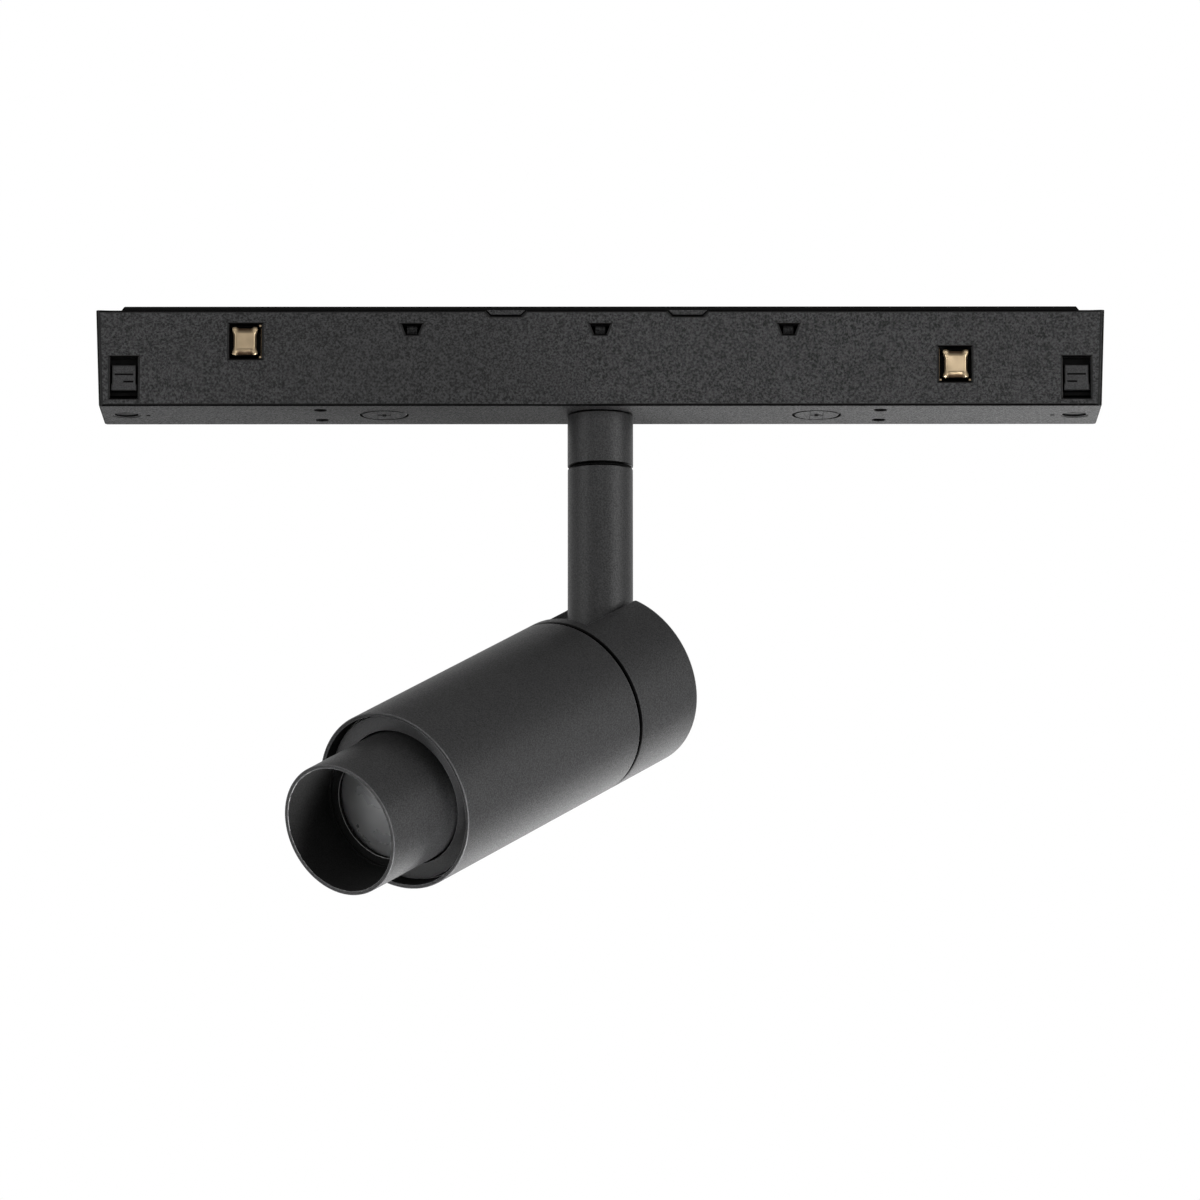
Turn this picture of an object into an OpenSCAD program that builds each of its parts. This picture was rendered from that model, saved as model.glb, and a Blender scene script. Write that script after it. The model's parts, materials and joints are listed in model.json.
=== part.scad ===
// Track spotlight with a bar adapter, a turning stem, a tilting round head and a push-pull zoom tube.
// Origin: centre of the adapter cover's top face, where the light seats in its track.
// +Z points up into the track, +X runs along the adapter and the contacts face -Y. Millimetres.

/* [Adapter] */
// Length of the adapter body at its top edge
adapter_len = 224.5; // [215:0.5:240]
// Width of the adapter body across the track
adapter_w = 22; // [21.5:0.1:24]
// Height of the adapter body without its cover
adapter_h = 21.74; // [21.7:0.01:22.5]
// How much each end of the body draws in from top to bottom
end_draft = 0.8; // [0:0.1:1]
// Thickness of the side walls and the floor
wall = 1.6; // [1.4:0.1:1.7]
// Thickness of the cover plate above the body
cover_t = 0.9; // [0.7:0.1:1.1]
// Length of the cover plate
cover_len = 213.3; // [205:0.1:214]
// Distance of each sprung contact from the middle
contact_x = 78.9; // [78:0.1:84]
// Depth of the left contact's centre below the body's top edge
contact_left_drop = 7.1; // [7:0.1:7.5]
// Depth of the right contact's centre below the body's top edge
contact_right_drop = 12.3; // [12:0.1:13]
// Travel of a sprung contact into the body
contact_travel = 1.0; // [0.5:0.1:1]
// Distance of each turn lock from the middle
lock_x = 105.9; // [105.5:0.1:105.9]
// How far a locking bolt moves out when its lock is turned
bolt_travel = 1.5; // [1:0.1:1.5]
// Distance of each screw plug from the middle
plug_x = 48.3; // [40:0.1:50]
// Distance of the board screws from the middle
screw_x = 62.4; // [60:0.1:66]
// Distance of the board screws from the centre line
screw_y = 5.8; // [5:0.1:6]

/* [Stem] */
// Radius of the fixed collar under the adapter
collar_r = 7.32; // [7.3:0.01:8]
// Height of the collar
collar_h = 12.03; // [11.5:0.01:13]
// Outer radius of the turning stem
stem_r = 7.28; // [7.2:0.01:7.3]
// Drop from the body's top edge to the tilt pivot
pivot_drop = 84.2; // [78:0.1:100]
// Turn of the head about the stem at rest, from straight ahead towards -X
pan_rest = 40; // [0:1:90]
// Tilt of the beam below level at rest
tilt_rest = 25; // [0:1:90]

/* [Head] */
// Outer radius of the round head
head_r = 20; // [20:0.1:21]
// Distance from the pivot back to the rear end of the head
head_back = 9.66; // [9.5:0.01:11]
// Distance from the pivot to the joint between rear shell and barrel
seam_s = 12.75; // [12.5:0.05:13]
// Distance from the pivot to the front rim of the barrel
barrel_front = 76.07; // [76:0.01:80]
// Half width of the stem's slot in the rear shell
slot_half = 9.6; // [9.2:0.1:10]
// Outer radius of the sliding zoom tube
zoom_r = 14.72; // [14.6:0.01:14.75]
// Distance from the pivot to the front of the zoom tube when it is pulled out
zoom_front = 95.42; // [94:0.01:98]

/* [Hidden] */
$fn = 64;

// Small working values shared by several pieces
eps = 0.01;
touch = 0.06;      // running clearance between turning pieces
slide_gap = 0.15;  // clearance round pieces that slide

body_top = -cover_t;
body_floor = body_top - adapter_h;
floor_top = body_floor + wall;
side_in = adapter_w / 2 - wall;
cavity_half = adapter_len / 2 - 2.05;
mouth_half = cover_len / 2 - 2.5;
roof_t = 2.2;
body_corner = 0.8;
hollow_corner = 0.5;
recess_x = [-21, 19.5];
recess_half = [4.6, 3.5];
recess_h = 1.2;
notch_x = 41.9;
notch_half = [2.1, 1.35];
notch_drop = [3.4, 5.4];
cover_half_w = 10.5;
cover_slope = 0.7;
hook_y = [8.2, 9.2];
rib_h = 2.3;
rib_len = 190;
plug_hole_r = 5.5;
plug_r = 5.3;
plug_chamfer = 0.3;
plug_cross = [3.0, 0.84, 0.5];  // length, width and depth of its cross recess
plug_lip_r = 6.2;
plug_bore = 4.2;
dot_r = 0.5;
dot_gap = 4.9;
board_z = body_top - 12.7;
board_t = 1.2;
board_half = [72, 8.9];
boss_r = 2.6;
screw_head = [1.5, 5];  // radius and depth of the hole for a board screw's head
pilot_r = 0.85;

window_half = [3.6, 3.8];
contact_half = [3.0, 3.3];
flange_half = 4.2;
contact_face_y = -adapter_w / 2 - 0.75;
contact_seat_y = -adapter_w / 2 + 0.5;
carrier_back_y = -3;
contact_left_z = body_top - contact_left_drop;
contact_right_z = body_top - contact_right_drop;

bolt_top = body_top - 12.4;
bolt_h = 5.8;
bolt_w = [5.3, 5.7];
bolt_foot_h = 1.6;
bolt_grooves = [[1.0, 1.15, 1.85], [0, 2.1, 3.5]];  // shift towards the middle, half length, height
bolt_groove = 0.35;
cam_min = 1.9;
cam_max = cam_min + bolt_travel;
nose_r = 0.8;
nose_y = cam_min + slide_gap + nose_r;
guide_half = 4.0;
lug_h = 2.7;
lug_y = [4.6, 5.6];
lock_head_r = 3.0;
lock_rim = 0.25;
lock_dish_top = 0.6;
lock_slot = [4.8, 0.9, 1.4];
window_lock = [6.1, 9.05];

collar_bottom = body_floor - collar_h;
stem_top = collar_bottom - 0.28;
stem_bore = 6.0;
nipple_r = 5.0;
nipple_bore = 3.0;
bush_bottom = stem_top - 8;
wire_half = 2.6;  // half width of the opening for the leads at the pivot
stop_z = stem_top - 4;
pivot_z = body_top - pivot_drop;
pin_r = 2.0;
flat_x = 6.9;
washer_t = 0.5;
cheek_in = flat_x + washer_t + touch;
cheek_out = cheek_in + 3;
cheek_r = 7.6;
spring_washer_t = 0.6;
lead_r = 0.8;
lead_x = 0.9;

shell_t = 1.5;
seam_gap = 0.5;
shell_front = seam_s - seam_gap / 2;
barrel_back = seam_s + seam_gap / 2;
slot_r = 9.35;
disc_back = 9.8;
disc_front = 17;
disc_r = head_r - shell_t - 0.05;
rim_depth = 4.2;
rim_t = 0.9;
bezel_front = barrel_front - 2.47;
bezel_back = barrel_front - rim_depth;
bezel_r = [zoom_r + 0.43, head_r - rim_t - 0.5];
led_s = disc_front + 1.5;
led_screw_x = 8.3;
led_hole_r = 1;
holder_s = led_s + 1.8;
condenser_s = 30;
condenser_r = 13.9;
condenser_edge = 2.5;
condenser_rise = 5;
sleeve_back = 41;
sleeve_step = 60.1;
sleeve_in = 16.9;
groove_r = 16.3;
groove_s = [65, 67];
zoom_back = 57;
zoom_t = 0.9;
lens_s = 75;
lens_r = 13;
lens_edge = 3.3;
lens_rise = 2.4;
lens_bore = 13.4;
lens_ledge_r = 12;
filter_s = 81;
lens_ring_s = 79.4;

// ---- placing and shaping helpers ----

// Frame of the head: X across, Y up out of the head, Z forward along the beam
module in_head() {
    translate([0, 0, pivot_z]) rotate([0, 0, -pan_rest]) rotate([tilt_rest + 90, 0, 0]) children();
}

// Frame of the stem: the pivot runs along X and the beam leaves towards -Y
module in_stem() {
    rotate([0, 0, -pan_rest]) children();
}

// A length of outline drawn as [back, up] about the pivot and swept evenly across X
module across(width) {
    rotate([0, 90, 0]) linear_extrude(width, center = true) children();
}

module ring(outer, inner, z0, z1) {
    difference() {
        translate([0, 0, z0]) cylinder(r = outer, h = z1 - z0);
        translate([0, 0, z0 - 1]) cylinder(r = inner, h = z1 - z0 + 2);
    }
}

module block(half_x, y0, y1, z0, z1) {
    translate([-half_x, y0, z0]) cube([2 * half_x, y1 - y0, z1 - z0]);
}

// Plane-sided outline in X and Z, swept along Y from y0 to y1
module along_y(y0, y1) {
    translate([0, y1, 0]) rotate([90, 0, 0]) linear_extrude(y1 - y0) children();
}

module rounded_plan(half_x, half_y, r) {
    square([2 * (half_x - r), 2 * half_y], center = true);
    square([2 * half_x, 2 * (half_y - r)], center = true);
    for (x = [-1, 1], y = [-1, 1]) translate([x * (half_x - r), y * (half_y - r)]) circle(r = r);
}

// Round wire along a path of [y, z] points in the plane x = 0
module wire(path, r, sides = 8) {
    last = len(path) - 1;
    function dir(i) = path[min(i + 1, last)] - path[max(i - 1, 0)];
    function side(i) = [-dir(i)[1], dir(i)[0]] / norm(dir(i));
    rings = [for (i = [0:last], k = [0:sides - 1])
        let (a = 360 * k / sides)
        [r * cos(a), path[i][0] + r * sin(a) * side(i)[0], path[i][1] + r * sin(a) * side(i)[1]]];
    skin = [for (i = [0:last - 1], k = [0:sides - 1])
        let (n = (k + 1) % sides)
        [i * sides + k, i * sides + n, (i + 1) * sides + n, (i + 1) * sides + k]];
    ends = [[for (k = [sides - 1:-1:0]) k], [for (k = [0:sides - 1]) last * sides + k]];
    polyhedron(rings, concat(skin, ends));
}

// Coil spring along Z from 0 to length
module coil(r, wire_r, turns, length, steps = 10, sides = 5) {
    count = turns * steps;
    rise = (length - 2 * wire_r) / count;
    rings = [for (i = [0:count], k = [0:sides - 1])
        let (a = 360 * i / steps, b = 360 * k / sides, reach = r + wire_r * cos(b))
        [reach * cos(a), reach * sin(a), wire_r + i * rise + wire_r * sin(b)]];
    skin = [for (i = [0:count - 1], k = [0:sides - 1])
        let (n = (k + 1) % sides)
        [i * sides + k, (i + 1) * sides + k, (i + 1) * sides + n, i * sides + n]];
    ends = [[for (k = [0:sides - 1]) k], [for (k = [sides - 1:-1:0]) count * sides + k]];
    polyhedron(rings, concat(skin, ends));
}

// ---- adapter ----

module body_shape() {
    intersection() {
        along_y(-adapter_w, adapter_w) polygon([
            [-adapter_len / 2, body_top], [adapter_len / 2, body_top],
            [adapter_len / 2 - end_draft, body_floor], [-adapter_len / 2 + end_draft, body_floor]]);
        translate([0, 0, body_floor]) linear_extrude(adapter_h)
            rounded_plan(adapter_len / 2, adapter_w / 2, body_corner);
    }
}

// Notch through both side walls that narrows downwards: half widths and heights are [top, bottom]
module wedge_notch(x, half, z) {
    along_y(-adapter_w, adapter_w) polygon([
        [x - half[0], z[0]], [x + half[0], z[0]], [x + half[1], z[1]], [x - half[1], z[1]]]);
}

module housing() {
    color("#3b3b3d") difference() {
        union() {
            difference() {
                body_shape();
                translate([0, 0, floor_top]) linear_extrude(body_top - roof_t - floor_top)
                    rounded_plan(cavity_half, side_in, hollow_corner);
                translate([0, 0, floor_top]) linear_extrude(adapter_h)
                    rounded_plan(mouth_half, side_in, hollow_corner);
            }
            for (x = [-1, 1], y = [-1, 1]) translate([x * screw_x, y * screw_y, floor_top - eps])
                cylinder(r = boss_r, h = board_z - floor_top + eps);
        }
        // stem hole, plug holes and board screw holes in the floor
        translate([0, 0, body_floor - 1]) cylinder(r = nipple_r + 0.1, h = wall + 2);
        for (side = [-1, 1]) {
            translate([side * plug_x, 0, body_floor - 1]) cylinder(r = plug_hole_r, h = wall + 2);
            translate([side * lock_x, 0, body_floor - 1]) cylinder(r = lock_head_r + 0.08, h = wall + 2);
            for (y = [-1, 1]) translate([side * screw_x, y * screw_y, body_floor - 1]) {
                cylinder(r = screw_head[0], h = screw_head[1] + 1);
                cylinder(r = pilot_r, h = adapter_h);
            }
            // index dot beside each lock
            translate([side * (lock_x - dot_gap), 0, body_floor - 1]) cylinder(r = dot_r, h = 1.3);
            // lock windows in both side walls
            translate([side * lock_x, 0, bolt_top + 1.65 - window_lock[1] / 2])
                cube([window_lock[0], adapter_w + 2, window_lock[1]], center = true);
        }
        // shallow lifting recesses in the top edge
        for (x = recess_x) wedge_notch(x, recess_half, [body_top, body_top - recess_h]);
        // contact windows in the front wall
        translate([-contact_x, -adapter_w / 2, contact_left_z])
            cube([2 * window_half[0], 2 * wall + 1, 2 * window_half[1]], center = true);
        translate([contact_x, -adapter_w / 2, contact_right_z])
            cube([2 * window_half[0], 2 * wall + 1, 2 * window_half[1]], center = true);
        // snap notches for the cover
        for (x = [-notch_x, 0, notch_x])
            wedge_notch(x, notch_half, [body_top - notch_drop[0], body_top - notch_drop[1]]);
    }
}

module top_cover() {
    color("#353537") {
        along_y(-cover_half_w, cover_half_w) polygon([
            [-cover_len / 2 + cover_slope, 0], [cover_len / 2 - cover_slope, 0],
            [cover_len / 2, -cover_t], [-cover_len / 2, -cover_t]]);
        for (side = [-1, 1]) {
            translate([0, side * (hook_y[0] + hook_y[1]) / 2, body_top - rib_h / 2])
                cube([rib_len, hook_y[1] - hook_y[0], rib_h + 2 * eps], center = true);
            for (x = [-notch_x, 0, notch_x]) translate([x, 0, 0]) snap_hook(side);
        }
    }
}

module snap_hook(side) {
    rotate([0, 0, side > 0 ? 0 : 180]) {
        block(1.1, hook_y[0], hook_y[1], body_top - 5.3, body_top + eps);
        // barb that springs into a notch
        rotate([90, 0, 90]) linear_extrude(2.2, center = true) polygon([
            [hook_y[1] - 0.1, body_top - 3.8], [hook_y[1] + 0.7, body_top - 3.9],
            [hook_y[1] - 0.1, body_top - 5.2]]);
    }
}

module driver_board() {
    color("#1d5a33") difference() {
        translate([0, 0, board_z]) linear_extrude(board_t) rounded_plan(board_half[0], board_half[1], 1);
        for (x = [-1, 1], y = [-1, 1]) translate([x * screw_x, y * screw_y, board_z - 1])
            cylinder(r = 0.9, h = board_t + 2);
    }
}

module inductor() {
    color("#4a4a48") translate([-28, 0, board_z + board_t]) {
        cylinder(r = 6, h = 1.2);
        cylinder(r = 5.2, h = 7);
        translate([0, 0, 5.8]) cylinder(r = 6, h = 1.2);
    }
}

module capacitors() {
    color("#22262e") for (x = [12, 22, 32]) translate([x, 0, board_z + board_t]) difference() {
        cylinder(r = 4, h = 8.5);
        translate([0, 0, 7.2]) ring(5, 3.8, 0, 0.4);
    }
}

module board_chips() {
    chip_sizes = [[-54, 6, 5], [-42, 5, 4], [-12, 9, 6], [46, 6.5, 6], [58, 4, 7]];
    color("#181818") for (c = chip_sizes)
        translate([c[0], 0, board_z + board_t + 0.8]) cube([c[1], c[2], 1.6], center = true);
}

module lead_socket() {
    color("#e8e4d8") difference() {
        block(3.2, -2.4, 2.4, board_z - 2.6, board_z);
        for (x = [-lead_x, lead_x]) translate([x, 0, board_z - 3]) cylinder(r = 0.6, h = 2);
    }
}

module board_screws() {
    seat = body_floor + screw_head[1];
    color("silver") for (x = [-1, 1], y = [-1, 1]) translate([x * screw_x, y * screw_y, 0]) difference() {
        union() {
            translate([0, 0, seat - 1.5]) cylinder(r = screw_head[0] - 0.1, h = 1.5);
            translate([0, 0, seat - eps]) cylinder(r = 0.8, h = board_z + board_t + 2 - seat);
        }
        translate([0, 0, seat - 2]) cylinder(r = 0.6, h = 1.2, $fn = 6);
    }
}

module board_nuts() {
    color("silver") for (x = [-1, 1], y = [-1, 1])
        translate([x * screw_x, y * screw_y, board_z + board_t]) difference() {
            cylinder(r = 1.9, h = 1.4, $fn = 6);
            translate([0, 0, -1]) cylinder(r = 0.82, h = 4);
        }
}

module supply_leads() {
    start = contact_x - 2.4;
    end_x = board_half[0] - 3;
    color("#b3271f") translate([0, -0.8, 0]) rotate([0, 0, 90]) {
        wire([[start, contact_left_z], [start - 1.6, contact_left_z - 0.5],
              [end_x + 1.6, board_z + board_t + 2], [end_x, board_z + board_t + 0.7]], 0.6);
    }
    color("#2a2a2a") translate([0, -0.8, 0]) rotate([0, 0, -90]) {
        wire([[start, contact_right_z], [start - 1.6, contact_right_z + 0.5],
              [end_x + 1.6, board_z + board_t + 1.3], [end_x, board_z + board_t + 0.7]], 0.6);
    }
}

module contact_carrier(x, z) {
    color("#2b2b2d") translate([x, 0, z]) difference() {
        block(5.6, -side_in + 0.05, -1.4, -4.6, 4.6);
        block(flange_half + slide_gap, -side_in - 1, carrier_back_y,
              -contact_half[1] - 0.2, contact_half[1] + 0.2);
        // wire opening in the back wall
        rotate([90, 0, 0]) cylinder(r = 1, h = adapter_w, center = true);
    }
}

module contact_carrier_left() { contact_carrier(-contact_x, contact_left_z); }
module contact_carrier_right() { contact_carrier(contact_x, contact_right_z); }

module contact_spring(x, z) {
    front = contact_seat_y + 0.65;
    color("#c9c2a8") translate([x, front, z]) rotate([-90, 0, 0])
        coil(1.7, 0.25, 5, carrier_back_y - front);
}

module contact_spring_left() { contact_spring(-contact_x, contact_left_z); }
module contact_spring_right() { contact_spring(contact_x, contact_right_z); }

// Pressed contact: a cup with a dished front whose four corners stand out as prongs
module contact(x, z) {
    hx = contact_half[0];
    hz = contact_half[1];
    color("#d8b13c") translate([x, 0, z]) difference() {
        union() {
            block(hx, contact_seat_y, -6.4, -hz, hz);
            block(flange_half, -side_in + 0.1, -side_in + 0.9, -hz + 1, hz - 1);
            intersection() {
                linear_extrude(2 * hz, center = true) polygon([
                    [-hx, contact_seat_y + eps], [hx, contact_seat_y + eps],
                    [hx - 1, contact_face_y], [-hx + 1, contact_face_y]]);
                rotate([90, 0, 90]) linear_extrude(2 * hx, center = true) polygon([
                    [contact_seat_y + eps, -hz], [contact_seat_y + eps, hz],
                    [contact_face_y, hz - 1], [contact_face_y, -hz + 1]]);
            }
        }
        // scallops between the prongs
        for (s = [-1, 1]) {
            translate([s * (hx + 1.5), contact_seat_y, 0]) rotate([90, 0, 0]) cylinder(r = 2.1, h = 3);
            translate([0, contact_seat_y, s * (hz + 1.3)]) rotate([90, 0, 0]) cylinder(r = 2.1, h = 3);
        }
        // hollow back that takes the spring
        block(hx - 0.5, contact_seat_y + 0.6, 0, -hz + 0.5, hz - 0.5);
    }
}

module contact_left() { contact(-contact_x, contact_left_z); }
module contact_right() { contact(contact_x, contact_right_z); }

module plug(side) {
    color("#3b3b3d") translate([side * plug_x, 0, 0]) difference() {
        union() {
            translate([0, 0, body_floor])
                cylinder(r1 = plug_r - plug_chamfer, r2 = plug_r, h = plug_chamfer);
            translate([0, 0, body_floor + plug_chamfer]) cylinder(r = plug_r, h = wall - plug_chamfer);
            ring(plug_lip_r, plug_bore, floor_top, floor_top + 0.8);
            ring(plug_r, plug_bore, floor_top - eps, floor_top + 2.4);
        }
        for (turn = [0, 90]) translate([0, 0, body_floor]) rotate(turn)
            cube([plug_cross[0], plug_cross[1], 2 * plug_cross[2]], center = true);
    }
}

module plug_left() { plug(-1); }
module plug_right() { plug(1); }

// Frame that carries one lock shaft and guides its two bolts
module lock_guide(side) {
    top = body_top - 3.3;
    bottom = floor_top + 1.0;
    bolt_bottom = bolt_top - bolt_h;
    color("#29292b") translate([side * lock_x, 0, 0]) difference() {
        block(guide_half, -side_in + 0.05, side_in - 0.05, bottom, top);
        // channel for the two bolts, then slots for their lugs
        block(bolt_w[1] / 2 + slide_gap, -side_in - 1, side_in + 1,
              bolt_bottom - slide_gap, bolt_top + slide_gap);
        block(1.5, -side_in + 0.75, side_in - 0.75, bolt_top, bolt_top + lug_h + 0.4);
        translate([0, 0, bottom - 1]) cylinder(r = cam_max + 0.15, h = bolt_top + slide_gap - bottom + 1);
        translate([0, 0, bolt_top]) cylinder(r = 1.62, h = 4);
        translate([0, 0, bolt_top]) cylinder(r = 1.55, h = 20);
    }
}

module lock_guide_left() { lock_guide(-1); }
module lock_guide_right() { lock_guide(1); }

// Two-lobed cam: its radius grows evenly over a quarter turn, then falls back
function cam_radius(a) = a <= 90 ? cam_max - bolt_travel * a / 90
                       : a <= 150 ? cam_min
                       : cam_min + bolt_travel * (a - 150) / 30;

module lock_shaft(side) {
    color("#4a4a4c") translate([side * lock_x, 0, 0]) difference() {
        union() {
            translate([0, 0, body_floor + 0.12]) cylinder(r = lock_head_r, h = wall);
            translate([0, 0, floor_top + 0.05]) cylinder(r = 3.8, h = 0.75);
            translate([0, 0, floor_top]) cylinder(r = 1.8, h = 3);
            translate([0, 0, bolt_top - bolt_h]) linear_extrude(bolt_h) polygon(
                [for (a = [0:6:354]) cam_radius(a % 180) * [cos(a), sin(a)]]);
            translate([0, 0, bolt_top - eps]) cylinder(r = 1.5, h = 8.9);
        }
        translate([0, 0, body_floor - 1]) cylinder(r = lock_head_r - lock_rim, h = 1 + lock_dish_top);
        translate([0, 0, body_floor + lock_slot[2] / 2]) cube(lock_slot, center = true);
    }
}

module lock_shaft_left() { lock_shaft(-1); }
module lock_shaft_right() { lock_shaft(1); }

// Locking bolt: slides out through the window when the cam turns
module bolt(side, facing) {
    outer = adapter_w / 2 - 0.3;
    color("#515154") translate([side * lock_x, 0, 0]) rotate([0, 0, facing > 0 ? 180 : 0]) {
        translate([0, 0, bolt_top - bolt_h]) difference() {
            union() {
                linear_extrude(bolt_h) bolt_plan(bolt_w[0] / 2, outer);
                linear_extrude(bolt_foot_h) bolt_plan(bolt_w[1] / 2, outer);
            }
            // fine grooves in the outer face, the lower one on the half towards the middle
            for (g = bolt_grooves) translate([side * facing * g[0], 0, 0])
                block(g[1], -outer - 1, -outer + bolt_groove, g[2], g[2] + bolt_groove);
        }
        block(1.2, -lug_y[1], -lug_y[0], bolt_top - eps, bolt_top + lug_h);
    }
}

module bolt_plan(half, outer) {
    polygon([[-half, -outer + 0.3], [-half + 0.3, -outer], [half - 0.3, -outer], [half, -outer + 0.3],
             [half, -5.2], [nose_r, -nose_y], [-nose_r, -nose_y], [-half, -5.2]]);
    translate([0, -nose_y]) circle(r = nose_r);
}

module bolt_left_front() { bolt(-1, -1); }
module bolt_left_back() { bolt(-1, 1); }
module bolt_right_front() { bolt(1, -1); }
module bolt_right_back() { bolt(1, 1); }

module bolt_springs(side) {
    start = lug_y[1] + 0.05;
    color("#c9c9cc") for (turn = [0, 180]) translate([side * lock_x, 0, bolt_top + lug_h / 2])
        rotate([0, 0, turn]) translate([0, start, 0]) rotate([-90, 0, 0])
            coil(0.95, 0.18, 4, side_in - 0.8 - start);
}

module bolt_springs_left() { bolt_springs(-1); }
module bolt_springs_right() { bolt_springs(1); }

// ---- collar and pan bearing ----

module collar() {
    color("#3f3f41") rotate_extrude() polygon([
        [nipple_r + 0.02, body_floor], [collar_r - 0.25, body_floor], [collar_r, body_floor - 0.25],
        [collar_r, collar_bottom + 0.2], [collar_r - 0.2, collar_bottom], [nipple_r + 0.02, collar_bottom]]);
}

module nipple() {
    color("#b9b9bb") difference() {
        ring(nipple_r, nipple_bore, bush_bottom - 4.2, floor_top + 3.9);
        translate([0, 0, stop_z]) rotate([90, 0, -pan_rest]) cylinder(r = 0.52, h = 10);
    }
}

module nipple_nut() {
    color("#c8c8ca") difference() {
        translate([0, 0, floor_top]) cylinder(r = 7.6, h = 3, $fn = 6);
        translate([0, 0, floor_top - 1]) cylinder(r = nipple_r + 0.02, h = 5);
    }
}

module pan_stop_pin() {
    color("#9a9a9c") in_stem() translate([0, -3.9, stop_z]) rotate([90, 0, 0]) cylinder(r = 0.5, h = 1.65);
}

module thrust_washer() {
    color("#d9d2b0") ring(5.85, nipple_r + 0.02, bush_bottom - 0.65, bush_bottom - touch);
}

module retaining_nut() {
    color("#c8c8ca") difference() {
        ring(5.7, nipple_r + 0.02, bush_bottom - 3.6, bush_bottom - 0.65);
        for (a = [0, 90]) rotate([0, 0, a]) translate([0, 0, bush_bottom - 3.6])
            cube([20, 1, 1.2], center = true);
    }
}

// ---- stem ----

// Everything above the pivot, with a round end about the pivot axis below it
module stem_envelope(r) {
    translate([0, 0, pivot_z]) union() {
        across(40) circle(r = r);
        translate([-20, -20, 0]) cube([40, 40, 60]);
    }
}

module pivot_bore(r) {
    translate([0, 0, pivot_z]) rotate([0, 90, 0]) cylinder(r = r, h = 60, center = true);
}

module stem_tube() {
    color("#3d3d3f") in_stem() difference() {
        intersection() {
            union() {
                translate([0, 0, stem_top - 0.2]) cylinder(r1 = stem_r, r2 = stem_r - 0.2, h = 0.2);
                translate([0, 0, pivot_z - 20]) cylinder(r = stem_r, h = stem_top - 0.2 - pivot_z + 20);
            }
            stem_envelope(stem_r);
        }
        translate([0, 0, pivot_z - 21]) cylinder(r = stem_bore, h = stem_top - pivot_z + 30);
        // side flats that seat the friction washers
        for (s = [-1, 1]) translate([s * (flat_x + 5), 0, pivot_z]) {
            across(10) circle(r = 8);
            translate([0, 0, -10]) cube([10, 40, 20], center = true);
        }
        // wire opening at the front of the pivot
        block(wire_half, -20, 0, pivot_z - 20, pivot_z + wire_half);
        pivot_bore(pin_r + 0.02);
    }
}

module stem_bush() {
    color("#2b2b2d") in_stem() {
        difference() {
            union() {
                ring(stem_bore - 0.01, nipple_r + 0.05, bush_bottom, stem_top);
                ring(6.9, nipple_r + 0.05, stem_top, collar_bottom - touch);
            }
            // groove for the stop pin
            ring(5.75, nipple_r - 1, stop_z - 0.6, stop_z + 0.6);
        }
        // rib that stops the pin after almost one turn
        block(0.35, nipple_r + touch, 5.8, stop_z - 0.65, stop_z + 0.65);
    }
}

module stem_eye() {
    color("#a8a8aa") in_stem() difference() {
        intersection() {
            translate([0, 0, pivot_z - 10]) cylinder(r = stem_bore - 0.01, h = 19);
            stem_envelope(7);
        }
        translate([0, 0, pivot_z + 5]) cylinder(r = wire_half, h = 10);
        block(wire_half, -20, 3, pivot_z - 20, pivot_z + 6);
        pivot_bore(pin_r + 0.02);
    }
}

module stem_leads() {
    color("#cc3b2f") in_stem() for (x = [-lead_x, lead_x]) translate([x, 0, pivot_z + 1.4])
        cylinder(r = lead_r, h = board_z - 2.8 - pivot_z - 1.4);
}

// Both sides of the pivot, each with Z outwards along it
module on_both_pivots() {
    in_stem() translate([0, 0, pivot_z]) for (s = [0, 180]) rotate([0, 0, s]) rotate([0, 90, 0]) children();
}

module pivot_screws() {
    head_x = cheek_out + spring_washer_t + touch;
    color("#b5b5b8") on_both_pivots() difference() {
        union() {
            translate([0, 0, 2.7]) cylinder(r = pin_r, h = head_x - 2.7 + eps);
            translate([0, 0, head_x]) cylinder(r = 3.8, h = 1.5);
        }
        translate([0, 0, head_x + 0.6]) cylinder(r = 1.3, h = 2, $fn = 6);
    }
}

module friction_washers() {
    color("#d6cfae") on_both_pivots() ring(5.5, pin_r + 0.05, flat_x, flat_x + washer_t);
}

module spring_washers() {
    color("#8d8d90") on_both_pivots()
        ring(4.2, pin_r + 0.05, cheek_out + touch, cheek_out + spring_washer_t + touch);
}

// ---- head ----

// The space the stem sweeps: outline as [back, up] about the pivot
module stem_slot() {
    across(2 * slot_half) {
        circle(r = slot_r);
        translate([0, -slot_r]) square([40, 40 + slot_r]);
        translate([-slot_r, 0]) square([40, 40]);
    }
}

module rear_shell() {
    edge = 1.2;
    color("#3c3c3e") in_head() difference() {
        rotate_extrude() difference() {
            union() {
                translate([0, -head_back]) square([head_r - edge, head_back + shell_front]);
                translate([0, -head_back + edge]) square([head_r, head_back + shell_front - edge - 0.2]);
                translate([0, -head_back + edge]) square([head_r - 0.2, head_back + shell_front - edge]);
                translate([head_r - edge, -head_back + edge]) circle(r = edge);
            }
            translate([-1, -head_back + shell_t]) square([head_r - shell_t + 1, 40]);
            translate([-40, -20]) square([40, 60]);
        }
        stem_slot();
    }
}

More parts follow.
